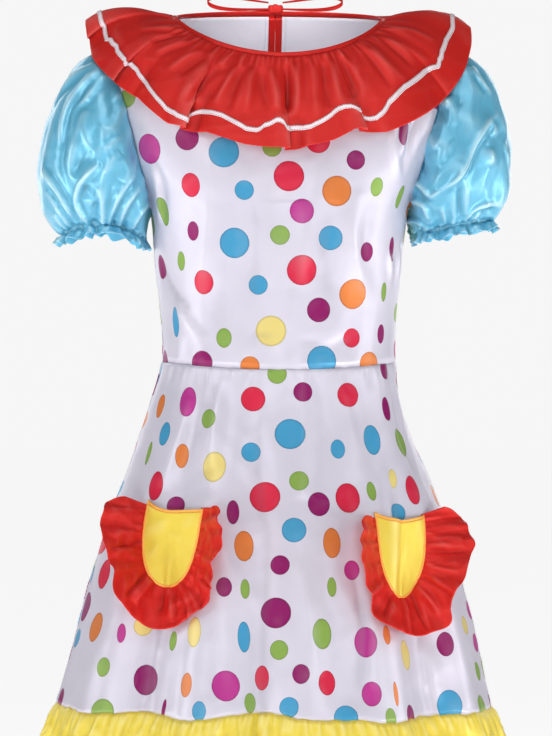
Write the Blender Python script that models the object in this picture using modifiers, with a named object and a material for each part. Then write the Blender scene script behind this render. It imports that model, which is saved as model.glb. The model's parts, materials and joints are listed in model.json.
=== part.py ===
"""A clown dress for an adult woman, filled out as when it is worn, with nobody in it.

White satin bodice and A-line skirt, puff sleeves with a frill at the cuff, a gathered
collar with a ribbon round it, a bound neckline and back slit with a tie, two pouch
pockets with ruffles round them, and a gathered ruffle at the hem.

Metres, +Z up. The wearer faces -Y and their left is +X. The origin lies between the
shoulders, level with the side of the neck, where the wearer holds the dress up. Angles
round the body start at the centre front and grow towards the wearer's left.
"""

import math

import bmesh
import bpy
import numpy as np

# ---------------------------------------------------------------- driving sizes

WALL = 0.0014  # cloth wall of the garment's pieces
TRIM_WALL = 0.0011  # cloth wall of the ribbon and the ties
SEAM = 0.0005  # gap between two pieces sewn edge to edge
LAYER_GAP = 0.0006  # gap between a piece and the panel that it lies on
WAIST_GAP = 0.0007
ARMHOLE_GAP = 0.0020
SHOULDER_GAP = 0.0016

WAIST_Z = -0.422  # waist seam at the centre front
WAIST_LIFT = 0.009  # how much higher the waist seam is at the sides
HEM_SEAM_Z = -0.822  # where the hem ruffle is sewn on
ARMPIT_Z = -0.235

NECK_HALF_WIDTH, NECK_CENTRE_Y = 0.122, 0.005
NECK_FRONT, NECK_BACK = 0.085, 0.060  # from the middle of the neck hole to its edge
NECK_DROP, NECK_RISE = 0.044, 0.010  # front edge below the origin, back edge above it
BINDING_DEPTH, BINDING_WALL = 0.0065, 0.0032
SLIT_BOTTOM_Z, SLIT_POINT = -0.165, 0.037  # where the slit starts, and its pointed foot
SLIT_BINDING_WIDTH, SLIT_BINDING_WALL = 0.0078, 0.0022

SHOULDER_TIP_X, SHOULDER_TIP_Z = 0.203, -0.045
ARMHOLE_SLOPE = 0.263  # how fast the armhole leans out with height
ARMHOLE_Z, ARMHOLE_HALF_HEIGHT = -0.140, 0.095
ARMHOLE_FRONT, ARMHOLE_BACK = 0.062, 0.066

COLLAR_HALF_WIDTH = 0.231
COLLAR_EDGE_Z = -0.004  # outer edge at the sides
COLLAR_FRONT_DROP, COLLAR_BACK_DROP = 0.158, 0.085
COLLAR_FRONT, COLLAR_BACK = 0.145, 0.120
COLLAR_WAVE = 0.0050
RIBBON_IN, RIBBON_WIDTH = 0.20, 0.065  # from the outer edge, as shares of the depth

SLEEVE_GATHERS, CUFF_FRILL = 10, 0.012
HEM_RUFFLE_DEPTH, HEM_RUFFLE_FLARE, HEM_WAVE = 0.075, 0.029, 0.0055
HEM_SIDE_GAP = 0.04  # of a skirt column, between the ruffle's front and back

POCKET_HALF_WIDTH, POCKET_DEPTH, POCKET_MOUTH = 0.0365, 0.0965, 0.0085
RUFFLE_WIDTH, RUFFLE_WAVE, RUFFLE_GATHERS = 0.054, 0.0040, 12
RUFFLE_END_TAPER = 0.22  # how much narrower the pocket ruffle is at its two ends

TIE_WIDTH, LOOP_LENGTH = 0.007, 0.074
KNOT_HALF = (0.0080, 0.0060, 0.0058)


def table(columns, rows):
    """A table as one array for each named column."""
    return dict(zip(columns.split(), np.array(rows, float).T))


# The body of the dress by height: half its width, and its depth in front and behind.
TORSO = table(
    "z half_width front back",
    [
        (-0.424, 0.139, 0.105, 0.098),
        (-0.350, 0.142, 0.108, 0.101),
        (-0.290, 0.149, 0.114, 0.105),
        (-0.235, 0.153, 0.118, 0.108),
        (-0.170, 0.153, 0.115, 0.110),
        (-0.105, 0.153, 0.103, 0.105),
        (-0.060, 0.153, 0.088, 0.096),
        (0.012, 0.153, 0.070, 0.064),
    ],
)

SKIRT_COLUMNS, SKIRT_ROWS = 28, 9
SKIRT_SWAY, SKIRT_TILT = 0.006, 0.003  # the hem hangs to the wearer's right, lower on the left
SKIRT = table(
    "z half_width front back",
    [
        (-0.824, 0.261, 0.182, 0.176),
        (-0.758, 0.246, 0.170, 0.165),
        (-0.662, 0.220, 0.151, 0.147),
        (-0.602, 0.203, 0.139, 0.135),
        (-0.554, 0.184, 0.127, 0.123),
        (-0.506, 0.162, 0.117, 0.112),
        (-0.458, 0.147, 0.109, 0.103),
        (-0.413, 0.139, 0.105, 0.098),
    ],
)

# Soft upright folds of the skirt: where each is, how wide, how far it stands out at
# the hem, and how much it lowers the hem seam there.
SKIRT_FOLDS_FRONT = table(
    "angle width stand drop",
    [
        (-56, 9, 0.012, 0.003),
        (-38, 7, -0.013, -0.002),
        (-24, 9, 0.013, 0.004),
        (-7, 8, -0.016, -0.004),
        (10, 6, 0.005, 0.003),
        (27, 9, 0.014, 0.006),
        (43, 7, -0.014, 0.002),
        (58, 8, 0.011, 0.001),
    ],
)
SKIRT_FOLDS_BACK = table(
    "angle width stand drop",
    [
        (116, 9, 0.012, 0.001),
        (136, 8, -0.014, -0.003),
        (156, 9, 0.013, 0.004),
        (176, 8, -0.012, -0.002),
        (196, 10, 0.014, 0.003),
        (219, 8, -0.013, -0.002),
        (240, 9, 0.011, 0.002),
    ],
)

# Rows of the bodice panels. Up to the armpit they end at the side seam, and above it
# on the armhole, at an angle round it that is 180 at the armpit and 0 at the shoulder.
# spread is the angle that the row turns through from its middle to its end.
BODICE_ROWS = table(
    "armhole spread front_z back_z",
    [
        (180, 90, -0.235, -0.235),
        (155, 80, -0.221, -0.220),
        (130, 71, -0.199, -0.196),
        (105, 64, -0.171, -0.165),
        (80, 60, -0.140, -0.128),
        (55, 57, -0.107, -0.088),
        (30, 55, -0.077, -0.047),
    ],
)
LOWER_ROWS = 4  # from the waist to the armpit
BODICE_COLUMNS = 20  # round the front, and half of that on each back panel
NECK_COLUMN = 3 / 5  # share of a panel's half width where the neckline meets the shoulder

# Folds of the collar, as angles round its outer edge.
COLLAR_FOLDS = (-176, -148, -116, -84, -52, -27.6, 1.7, 25.6, 56.7, 88, 119, 150, 176)
COLLAR_FOLD_COLUMNS, COLLAR_ROWS = 5, 6

# The sleeves. The cuff ring's centre and half sizes, its height at the outer side, in
# front and at the inner side, and how far the cloth swells before it at the outer side.
SLEEVES = {
    "sleeve_left": {
        "side": 1,
        "cuff_x": 0.2065,
        "cuff_half": (0.0485, 0.040),
        "cuff_z": (-0.242, -0.250, -0.260),
        "cap_swell": (0.047, 0.008),
        "cuff_swell": (0.058, 0.071),
    },
    "sleeve_right": {
        "side": -1,
        "cuff_x": 0.2085,
        "cuff_half": (0.0500, 0.040),
        "cuff_z": (-0.261, -0.249, -0.268),
        "cap_swell": (0.050, 0.004),
        "cuff_swell": (0.073, 0.050),
    },
}
SLEEVE_STEPS = table(
    "along gather",
    [
        (0.0, 0.0),
        (0.10, 0.0014),
        (0.26, 0.0020),
        (0.44, 0.0016),
        (0.62, 0.0016),
        (0.78, 0.0030),
        (0.91, 0.0036),
        (1.0, 0.0014),
    ],
)

# The pockets: the angle round the skirt of the pouch's middle, the height of its mouth,
# and how far its foot leans aside.
POCKETS = {
    "left": {"angle": 43.5, "z": -0.594, "side": 1, "lean": -0.18},
    "right": {"angle": -41.5, "z": -0.583, "side": -1, "lean": 0.08},
}
# How steeply each pocket's ruffle stands up off the skirt, by how far round the pouch it
# is from the outer end, in degrees of a half turn.
RUFFLE_STAND = table(
    "turn left right",
    [
        (0, 16, 46),
        (40, 34, 60),
        (68, 50, 60),
        (90, 26, 18),
        (108, 12, 6),
        (130, 30, 24),
        (180, 42, 42),
    ],
)

MATERIALS = {
    "dotted_satin": ((0.86, 0.84, 0.90), 0.42),
    "blue_satin": ((0.07, 0.40, 0.72), 0.35),
    "red_satin": ((0.72, 0.035, 0.03), 0.40),
    "yellow_satin": ((0.98, 0.72, 0.04), 0.38),
    "pale_ribbon": ((0.93, 0.78, 0.78), 0.35),
}


# ---------------------------------------------------------------- curves and grids


def smooth(sheet, column, key, at):
    """A table's column at key values between its rows, on one smooth curve."""
    order = np.argsort(sheet[key])
    x, y = sheet[key][order], sheet[column][order]
    slope = np.gradient(y, x)
    at = np.clip(at, x[0], x[-1])
    i = np.clip(np.searchsorted(x, at) - 1, 0, len(x) - 2)
    step = x[i + 1] - x[i]
    t = (at - x[i]) / step
    start = y[i] * (1 + 2 * t) * (1 - t) ** 2 + step * slope[i] * t * (1 - t) ** 2
    end = y[i + 1] * t**2 * (3 - 2 * t) + step * slope[i + 1] * t**2 * (t - 1)
    return start + end


def point(*xyz):
    """x, y and z, numbers or arrays, as one array of points."""
    return np.stack(np.broadcast_arrays(*map(np.asarray, xyz)), axis=-1).astype(float)


def unit(vectors):
    return vectors / np.linalg.norm(vectors, axis=-1, keepdims=True)


def bezier(p0, p1, p2, p3, t):
    t = t[:, None, None]
    return (1 - t) ** 3 * p0 + 3 * t * (1 - t) ** 2 * p1 + 3 * t**2 * (1 - t) * p2 + t**3 * p3


def normals(grid, loop=False):
    """Unit normals of a grid of points, rows first."""
    down = np.gradient(grid, axis=0)
    if loop:
        wide = np.concatenate([grid[:, -2:-1], grid, grid[:, 1:2]], axis=1)
        across = (wide[:, 2:] - wide[:, :-2]) / 2
    else:
        across = np.gradient(grid, axis=1)
    return unit(np.cross(across, down))


def around(angle, top, side, bottom):
    """A value that is top at 0 degrees, side at 90 and 270, and bottom at 180."""
    mean = (top + 2 * side + bottom) / 4
    return mean + (top - bottom) / 2 * np.cos(angle) + (top - 2 * side + bottom) / 4 * np.cos(2 * angle)


def read_grid(grid, row, column):
    """Points of a grid at fractional rows and columns, on its own straight edges."""
    row = np.clip(row, 0, grid.shape[0] - 1.000001)
    column = np.clip(column, 0, grid.shape[1] - 1.000001)
    r, c = row.astype(int), column.astype(int)
    fr, fc = (row - r)[..., None], (column - c)[..., None]
    upper = grid[r, c] * (1 - fc) + grid[r, c + 1] * fc
    lower = grid[r + 1, c] * (1 - fc) + grid[r + 1, c + 1] * fc
    return upper * (1 - fr) + lower * fr


# ---------------------------------------------------------------- making the solids


def material(name):
    colour, roughness = MATERIALS[name]
    made = bpy.data.materials.get(name) or bpy.data.materials.new(name)
    made.use_nodes = True
    shader = made.node_tree.nodes["Principled BSDF"]
    shader.inputs["Base Color"].default_value = (*colour, 1)
    shader.inputs["Roughness"].default_value = roughness
    shader.inputs["Metallic"].default_value = 0.0
    made.diffuse_color = (*colour, 1)
    return made


def add_object(name, bm, finish):
    mesh = bpy.data.meshes.new(name)
    bm.to_mesh(mesh)
    bm.free()
    mesh.materials.append(material(finish))
    mesh.shade_smooth()
    made = bpy.data.objects.new(name, mesh)
    bpy.data.collections["clown_dress"].objects.link(made)
    return made


def sew(name, grid, finish, wall=WALL, loop=False):
    """One piece of cloth: a sheet through the grid's points, thickened to both sides.
    A looped grid's last column lies on its first and is joined to it."""
    rows, columns = grid.shape[:2]
    bm = bmesh.new()
    bmesh.ops.create_grid(bm, x_segments=columns - 1, y_segments=rows - 1, size=1)
    bm.verts.ensure_lookup_table()
    for vert, place in zip(bm.verts, grid.reshape(-1, 3)):
        vert.co = place
    if loop:
        bmesh.ops.remove_doubles(bm, verts=bm.verts, dist=1e-6)
    made = add_object(name, bm, finish)
    shell = made.modifiers.new("wall", "SOLIDIFY")
    shell.thickness = wall
    shell.offset = 0
    return made


# ---------------------------------------------------------------- bodice


def armhole(angle, side):
    """A point of the armhole, 0 at the shoulder, 90 in front, 180 under the arm."""
    z = ARMHOLE_Z + ARMHOLE_HALF_HEIGHT * np.cos(angle)
    x = SHOULDER_TIP_X + ARMHOLE_SLOPE * (z - SHOULDER_TIP_Z)
    depth = np.where(np.sin(angle) > 0, ARMHOLE_FRONT, ARMHOLE_BACK)
    return point(side * x, -depth * np.sin(angle), z)


def neckline(angle):
    """The neckline's edge, 0 at the centre front and 180 at the centre back."""
    sine, cosine = np.sin(angle), np.cos(angle)
    front = np.clip(cosine, 0, 1)
    back = np.clip(-cosine, 0, 1)
    y = NECK_CENTRE_Y - NECK_FRONT * front + NECK_BACK * back
    z = -NECK_DROP * front**1.5 + NECK_RISE * back
    return point(NECK_HALF_WIDTH * sine, y, z)


def off_neck(angle, front, side, back):
    """A direction away from the neck: one in front, one at the side, one behind."""
    sine, cosine = np.sin(angle)[..., None], np.cos(angle)[..., None]
    turned = np.array(side) * np.array([1, 0, 0]) * sine + np.array(side) * np.array([0, 1, 1]) * np.abs(sine)
    ahead = np.where(cosine > 0, np.array(front) * cosine, np.array(back) * -cosine)
    return unit(turned + ahead)


def down_the_panel(angle):
    return off_neck(angle, (0, -0.30, -0.95), (0.93, 0, -0.37), (0, 0.45, -0.89))


def neck_seam(angle, past=0.0):
    """The lower edge of the neck binding, or a point past it down the panel."""
    return neckline(angle) + down_the_panel(angle) * (BINDING_DEPTH + past)


def bodice_grid(back, share):
    """Half or all of a bodice panel. share is the columns' place, 0 at the middle and
    1 at the side, and negative on the wearer's right."""
    sign = 1 if back else -1
    depth = "back" if back else "front"
    side = np.where(share < 0, -1, 1)
    size = np.abs(share)
    rows = []
    for level in np.linspace(0, 1, LOWER_ROWS + 1)[:-1]:
        turn = share * math.pi / 2
        low = WAIST_Z + WAIST_LIFT * np.sin(turn) ** 2 + WAIST_GAP / 2
        z = low + (ARMPIT_Z - low) * level
        rows.append(
            point(
                smooth(TORSO, "half_width", "z", z) * np.sin(turn),
                sign * smooth(TORSO, depth, "z", z) * np.cos(turn),
                z,
            )
        )
    for i in range(len(BODICE_ROWS["armhole"])):
        angle = math.radians(BODICE_ROWS["armhole"][i]) * (-1 if back else 1)
        spread = math.radians(BODICE_ROWS["spread"][i])
        middle_z = BODICE_ROWS[f"{depth}_z"][i]
        end = armhole(np.full_like(share, angle), side)
        middle_y = sign * smooth(TORSO, depth, "z", middle_z)
        turn = size * spread
        reach = (np.cos(turn) - math.cos(spread)) / (1 - math.cos(spread))
        rows.append(
            point(
                end[:, 0] * np.sin(turn) / math.sin(spread),
                end[:, 1] + (middle_y - end[:, 1]) * reach,
                middle_z + (end[:, 2] - middle_z) * size**2,
            )
        )
    round_neck = np.minimum(size / NECK_COLUMN, 1) * math.pi / 2 * side
    round_neck = np.where(back, side * math.pi - round_neck, round_neck)
    along_shoulder = np.clip((size - NECK_COLUMN) / (1 - NECK_COLUMN), 0, 1)[:, None]
    tip = armhole(np.zeros_like(share), side)
    top = neck_seam(round_neck, SEAM) * (1 - along_shoulder) + tip * along_shoulder
    level = np.minimum(size / NECK_COLUMN, 1)[:, None]
    steep, gentle, flat = (np.array([0, sign * y, z]) for y, z in ((0.30, -0.95), (0.85, -0.5), (1, 0)))
    onto = steep * (1 - level) + gentle * (level - along_shoulder) + flat * along_shoulder
    length = np.linalg.norm(top - rows[-1], axis=1, keepdims=True)
    bend = top + unit(onto) * length * (0.42 + 0.06 * along_shoulder)
    rows.append(rows[-1] * 0.25 + bend * 0.5 + top * 0.25)
    rows.append(top)
    grid = np.array(rows)
    grid[:, :, 1] += sign * SEAM / 2
    grid[-1, size > NECK_COLUMN - 0.01, 1] += sign * (SHOULDER_GAP - SEAM) / 2
    return grid


def back_edge(z):
    """How far a back panel's middle edge stays from the centre: seamed up to the slit,
    then cut back for the slit's binding."""
    opened = np.clip((z - SLIT_BOTTOM_Z) / SLIT_POINT, 0, 1)
    return SEAM / 2 + (SLIT_BINDING_WIDTH + SEAM) * opened


def make_bodice():
    share = np.linspace(-1, 1, BODICE_COLUMNS + 1)
    sew("bodice_front", bodice_grid(False, share), "dotted_satin")
    for side, name in ((1, "left"), (-1, "right")):
        share = side * np.linspace(1, 0, BODICE_COLUMNS // 2 + 1)
        share[-1] = side * 1e-6
        grid = bodice_grid(True, share)
        grid[:, -1, 0] = side * back_edge(grid[:, -1, 2])
        sew(f"bodice_back_{name}", grid[:, ::side], "dotted_satin")


# ---------------------------------------------------------------- neck, slit and tie


def make_neck_binding():
    columns = round(BODICE_COLUMNS * NECK_COLUMN)
    angle = np.linspace(-math.pi, math.pi, 2 * columns + 1)
    angle[[0, -1]] *= 1 - SEAM / NECK_HALF_WIDTH / math.pi
    upper = neckline(angle)
    lower = neck_seam(angle, -SEAM)
    out = unit(np.cross(np.gradient(upper, axis=0), down_the_panel(angle)))
    out *= (BINDING_WALL - WALL) / 2
    sew("neck_binding", np.array([upper, lower]) - out, "red_satin", BINDING_WALL)


def make_slit_bindings():
    foot = SLIT_BOTTOM_Z + SLIT_POINT * np.array([0.3, 1.0])
    height = np.append(foot, np.linspace(foot[-1], NECK_RISE - BINDING_DEPTH - 0.0012, 6)[1:])
    panel = bodice_grid(True, np.array([1.0, 1e-6]))[:, -1]
    depth = np.interp(height, panel[:, 2], panel[:, 1])
    for side, name in ((1, "left"), (-1, "right")):
        edge = side * (back_edge(height) - SEAM)
        grid = np.array([point(side * SEAM / 2, depth, height), point(edge, depth, height)])
        sew(f"slit_binding_{name}", grid[::side], "red_satin", SLIT_BINDING_WALL)


def strip(path, across, width):
    """A ribbon's two edges along a path."""
    return np.array([path - across * width / 2, path + across * width / 2])


def make_tie():
    """A bow on the top edge of the binding: a knot, two loops lying along the back of
    the neck, one end lying beside a loop and the other hanging down the back."""
    half = np.array(KNOT_HALF)
    knot = np.array([0, NECK_CENTRE_Y + NECK_BACK + 0.003, NECK_RISE + 0.0014 + half[2]])
    bm = bmesh.new()
    bmesh.ops.create_uvsphere(bm, u_segments=12, v_segments=8, radius=1)
    for vert in bm.verts:
        vert.co = knot + half * vert.co
    add_object("neck_tie_knot", bm, "red_satin")
    start = half[0] + SEAM
    turn = np.linspace(0, 1, 15)
    swing = np.sin(turn * math.pi)
    for side, name in ((1, "left"), (-1, "right")):
        path = knot + point(
            side * (start + LOOP_LENGTH * swing**0.8),
            0.001 + 0.008 * swing,
            0.004 + 0.004 * np.cos(turn * math.pi) + 0.006 * swing + 0.0045 * np.sin(2 * turn * math.pi),
        )
        across = unit(point(0 * turn, 0.9 + 0 * turn, 0.35 + 0 * turn))
        sew(f"neck_tie_loop_{name}", strip(path, across, TIE_WIDTH), "red_satin", TRIM_WALL)
    turn = np.linspace(0, 1, 9)
    lying = knot + point(-start - 0.086 * turn, 0.003 + 0.003 * turn, -0.0028 - 0.007 * turn)
    flat = unit(point(0 * turn, 0.30 + 0 * turn, 0.94 + 0 * turn))
    sew("neck_tie_end_right", strip(lying, flat, TIE_WIDTH * 0.7), "red_satin", TRIM_WALL)
    hanging = point(
        0.001 + 0.012 * turn,
        knot[1] + half[1] + 0.0012 + 0.052 * turn**0.9,
        knot[2] - 0.0005 - 0.105 * turn**1.2,
    )
    sideways = unit(point(1 + 0 * turn, 0.15 + 0 * turn, 0.1 + 0 * turn))
    sew("neck_tie_end_left", strip(hanging, sideways, TIE_WIDTH), "red_satin", TRIM_WALL)


# ---------------------------------------------------------------- collar


def collar_wave(columns):
    """How far each column stands out: 1 on a lobe's crest, -1 in the fold between."""
    within = (columns % COLLAR_FOLD_COLUMNS) / COLLAR_FOLD_COLUMNS
    return 2 * np.sin(np.pi * within) ** 0.7 - 1


def collar_grid():
    lobes = len(COLLAR_FOLDS) - 1
    columns = np.arange(lobes * COLLAR_FOLD_COLUMNS + 1)
    outer = np.radians(np.interp(columns / COLLAR_FOLD_COLUMNS, range(lobes + 1), COLLAR_FOLDS))
    inner = outer * 179.4 / COLLAR_FOLDS[-1]
    out = unit(np.cross(np.gradient(neckline(inner), axis=0), down_the_panel(inner)))
    seat = WALL + LAYER_GAP
    start = neck_seam(inner, 0.0008) - out * seat
    front, back = np.clip(np.cos(outer), 0, 1), np.clip(-np.cos(outer), 0, 1)
    edge = point(
        COLLAR_HALF_WIDTH * np.sin(outer),
        NECK_CENTRE_Y - COLLAR_FRONT * front + COLLAR_BACK * back,
        COLLAR_EDGE_Z - COLLAR_FRONT_DROP * front**0.88 - COLLAR_BACK_DROP * back,
    )
    leaving = off_neck(inner, (0, -0.50, -0.87), (0.92, 0, 0.38), (0, 0.72, -0.70))
    arriving = off_neck(outer, (0, -0.42, -0.91), (0.76, 0, -0.65), (0, 0.40, -0.92))
    t = np.linspace(0, 1, COLLAR_ROWS + 1)
    grid = bezier(start, start + leaving * 0.040, edge - arriving * 0.036, edge, t)
    wave = COLLAR_WAVE * t[:, None] ** 1.3 * collar_wave(columns)
    return grid - normals(grid) * wave[..., None]


def make_collar():
    grid = collar_grid()
    sew("collar", grid, "red_satin")
    rows = (1 - RIBBON_IN - np.array([RIBBON_WIDTH, 0])) * COLLAR_ROWS
    column = np.arange(grid.shape[1], dtype=float)
    row = rows[:, None] + 0 * column
    lift = WALL / 2 + TRIM_WALL / 2 + LAYER_GAP
    place = read_grid(grid, row, column + 0 * row)
    out = unit(read_grid(normals(grid), row, column + 0 * row))
    sew("collar_ribbon", place - out * lift, "pale_ribbon", TRIM_WALL)


# ---------------------------------------------------------------- sleeves


def sleeve_grid(cut):
    side = cut["side"]
    columns = SLEEVE_GATHERS * 4
    angle = np.linspace(0, 2 * math.pi, columns + 1)
    sine, cosine = np.sin(angle), np.cos(angle)
    lean = np.array([side, 0, -ARMHOLE_SLOPE]) / math.hypot(1, ARMHOLE_SLOPE)
    start = armhole(angle, side) + lean * ARMHOLE_GAP
    half_x, half_y = cut["cuff_half"]
    cuff = point(
        side * (cut["cuff_x"] + half_x * cosine),
        -half_y * sine,
        around(angle, *cut["cuff_z"]),
    )
    leave = point(
        side * around(angle, cut["cap_swell"][0], 0.012, 0.005),
        -0.030 * sine,
        around(angle, cut["cap_swell"][1], -0.002, -0.008),
    )
    swell = point(
        side * around(angle, cut["cuff_swell"][0], 0.010, 0.003),
        -0.052 * sine,
        around(angle, cut["cuff_swell"][1], 0.036, 0.008),
    )
    along = SLEEVE_STEPS["along"]
    grid = bezier(start, start + leave, cuff + swell, cuff, along)
    flare = 0.006 * np.where(cosine < 0, 0.1, 1)
    frill = point(side * flare * cosine, -0.006 * sine, -CUFF_FRILL + 0 * angle)
    grid = np.concatenate([grid, (cuff + frill * 0.5)[None], (cuff + frill)[None]])
    gather = np.append(SLEEVE_STEPS["gather"], (0.0026, 0.0042))
    free = 0.15 + 0.85 * np.clip((1 + cosine) / 1.2, 0, 1)
    wave = gather[:, None] * np.cos(SLEEVE_GATHERS * angle) * free
    return grid + side * normals(grid, loop=True) * wave[..., None]


def make_sleeves():
    for name, cut in SLEEVES.items():
        grid = sleeve_grid(cut)
        sew(name, grid[:, :: cut["side"]], "blue_satin", loop=True)


# ---------------------------------------------------------------- skirt and hem


def skirt_grid(back):
    """A skirt panel, from the waist seam down."""
    folds = SKIRT_FOLDS_BACK if back else SKIRT_FOLDS_FRONT
    depth = "back" if back else "front"
    angle = np.linspace(-90, 90, SKIRT_COLUMNS + 1) + (180 if back else 0)
    turn = np.radians(angle)
    fold = np.exp(-(((angle - folds["angle"][:, None]) / folds["width"][:, None]) ** 2))
    stand = (folds["stand"][:, None] * fold).sum(axis=0)
    drop = (folds["drop"][:, None] * fold).sum(axis=0)
    top = WAIST_Z + WAIST_LIFT * np.sin(turn) ** 2 - WAIST_GAP / 2
    grid = []
    for level in np.linspace(0, 1, SKIRT_ROWS + 1):
        z = top + (HEM_SEAM_Z - top) * level
        wave = stand * level**1.3
        sizes = [smooth(SKIRT, column, "z", z) + wave for column in ("half_width", depth)]
        y = -sizes[1] * np.cos(turn) + (SEAM if back else -SEAM) / 2
        x = sizes[0] * np.sin(turn) - SKIRT_SWAY * level**1.5
        grid.append(point(x, y, z - (drop + SKIRT_TILT * np.sin(turn)) * level**3))
    return np.array(grid)


def make_skirt():
    for name, back in (("front", False), ("back", True)):
        grid = skirt_grid(back)
        sew(f"skirt_{name}", grid, "dotted_satin")
        make_hem_ruffle(name, grid)


def make_hem_ruffle(name, skirt):
    """A gathered strip hung from the skirt's lower edge."""
    per_column, rows = 4, 3
    column = np.linspace(0, SKIRT_COLUMNS, SKIRT_COLUMNS * per_column + 1)
    turn = column / SKIRT_COLUMNS * 2 * math.pi
    last = skirt.shape[0] - 1
    column[[0, -1]] += np.array([1, -1]) * HEM_SIDE_GAP
    top = read_grid(skirt, np.full_like(column, last), column)
    out = unit(top * np.array([1, 1, 0]))
    drift = 0.30 * np.sin(4 * turn) + 0.25 * np.sin(2 * turn)
    wave = np.cos(2 * math.pi * (column + drift)) * (1 + 0.35 * np.sin(3 * turn))
    grid = []
    for t in np.linspace(0, 1, rows + 1):
        away = HEM_RUFFLE_FLARE * t**0.8 + HEM_WAVE * t * wave
        down = np.array([0, 0, -0.0010 - HEM_RUFFLE_DEPTH * t])
        grid.append(top + out * away[:, None] + down)
    sew(f"hem_ruffle_{name}", np.array(grid), "yellow_satin")


# ---------------------------------------------------------------- pockets


def pouch_half_width(share):
    """Half a pouch's width at a share of its depth."""
    return POCKET_HALF_WIDTH * np.sqrt(np.clip(1 - share**3.4, 0, 1))


class PocketPlace:
    """Where a pocket lies on the skirt front: distances across and down from the
    middle of its mouth become places on the panel's own facets, moved out."""

    def __init__(self, skirt, angle, z, lean):
        self.skirt, self.out, self.lean = skirt, normals(skirt), lean
        self.column = (angle + 90) / 180 * SKIRT_COLUMNS
        heights = skirt[:, round(self.column), 2]
        self.row = np.interp(-z, -heights, np.arange(len(heights)))
        down, origin = read_grid(skirt, self.row + np.array([1, 0]), np.full(2, self.column))
        self.column_widths = np.linalg.norm(np.diff(skirt, axis=1), axis=2)[:, round(self.column)]
        self.row_height = np.linalg.norm(down - origin)

    def points(self, across, down, lift):
        row = self.row + down / self.row_height
        width = np.interp(row, np.arange(len(self.column_widths)), self.column_widths)
        column = self.column + (across + self.lean * down) / width
        place = read_grid(self.skirt, row, column)
        return place - unit(read_grid(self.out, row, column)) * lift[..., None]


def make_pocket(name, place):
    rows = np.array([0, 0.12, 0.27, 0.42, 0.57, 0.71, 0.83, 0.92, 0.975])[:, None]
    columns = np.linspace(-1, 1, 9)[None, :]
    across = columns * pouch_half_width(rows)
    down = rows * POCKET_DEPTH + 0.004 * (1 - rows) * (1 - columns**2)
    base = WALL + LAYER_GAP
    lift = base + POCKET_MOUTH * (1 - columns**2) * (1 - rows) ** 0.8
    sew(name, place.points(across, down, lift), "yellow_satin")


def make_pocket_ruffle(name, place, side, stand):
    """A strip gathered round the pouch's sides and bottom. Each rib of it runs straight
    out from the sewn edge, and leans up off the skirt by its own angle."""
    depth = 1 - np.linspace(1, 0, 60) ** 2
    outline = np.array([-pouch_half_width(depth), depth * POCKET_DEPTH]).T
    outline = np.concatenate([outline, (outline * [-1, 1])[::-1][1:]])
    length = np.append(0, np.cumsum(np.linalg.norm(np.diff(outline, axis=0), axis=1)))
    count = RUFFLE_GATHERS * 4
    at = np.linspace(0, length[-1], count + 1)
    edge = np.array([np.interp(at, length, outline[:, i]) for i in (0, 1)]).T
    along = np.gradient(edge, axis=0)
    away = unit(np.array([-along[:, 1], along[:, 0]]).T)
    outer_end, inner_end = (0, -1) if side < 0 else (-1, 0)
    away[outer_end], away[inner_end] = (side, -0.16), (-side, 0.22)
    away = unit(away)
    ends = np.minimum(np.arange(count + 1), np.arange(count + 1)[::-1])
    width = RUFFLE_WIDTH * (1 - RUFFLE_END_TAPER * np.exp(-ends / 2))
    turn = np.linspace(0, 180, count + 1)
    turn = turn if side < 0 else 180 - turn
    tilt = np.radians(np.interp(turn, RUFFLE_STAND["turn"], stand))[:, None]
    wave = np.cos(np.arange(count + 1) * math.pi / 2) * (1 + 0.3 * np.sin(np.radians(turn) * 7))
    lift = np.full(count + 1, WALL + LAYER_GAP + 0.0001)
    sewn = place.points(*edge.T, lift)
    up = unit(place.points(*edge.T, lift + RUFFLE_WAVE) - sewn)
    out = place.points(*(edge + away * RUFFLE_WAVE).T, lift) - sewn
    out = unit(out - up * np.sum(out * up, axis=1)[:, None])
    rib = out * np.cos(tilt) + up * np.sin(tilt)
    swing = (up * np.cos(tilt) - out * np.sin(tilt)) * wave[:, None] * RUFFLE_WAVE
    sewn = sewn + out * 0.0013
    grid = [sewn + (rib * width[:, None] + swing) * t for t in np.linspace(0, 1, 4)]
    sew(name, np.array(grid), "red_satin")


def make_pockets():
    skirt = skirt_grid(back=False)
    for name, pocket in POCKETS.items():
        place = PocketPlace(skirt, pocket["angle"], pocket["z"], pocket["lean"])
        make_pocket(f"pocket_{name}", place)
        make_pocket_ruffle(f"pocket_ruffle_{name}", place, pocket["side"], RUFFLE_STAND[name])


# ---------------------------------------------------------------- the dress


def main():
    for old in list(bpy.data.objects):
        bpy.data.objects.remove(old)
    dress = bpy.data.collections.new("clown_dress")
    bpy.context.scene.collection.children.link(dress)
    make_bodice()
    make_neck_binding()
    make_slit_bindings()
    make_tie()
    make_collar()
    make_sleeves()
    make_skirt()
    make_pockets()


main()
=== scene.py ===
"""The looks of a clown dress for an adult woman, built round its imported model.

Dotted white satin bodice and skirt, blue puff sleeves, a gathered red collar with a
ribbon, a bound neckline and back slit with a tie, two yellow pouch pockets with red
ruffles, and a yellow ruffle at the hem. Each piece is a thin sheet on the form of the
model's piece, with its gathers, creases, seams and stitches.

Metres, +Z up. The wearer faces -Y and their left is +X. Places on the front are named by
where they fall in the view, in pixels from its top left corner.
"""

import json
import math

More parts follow.
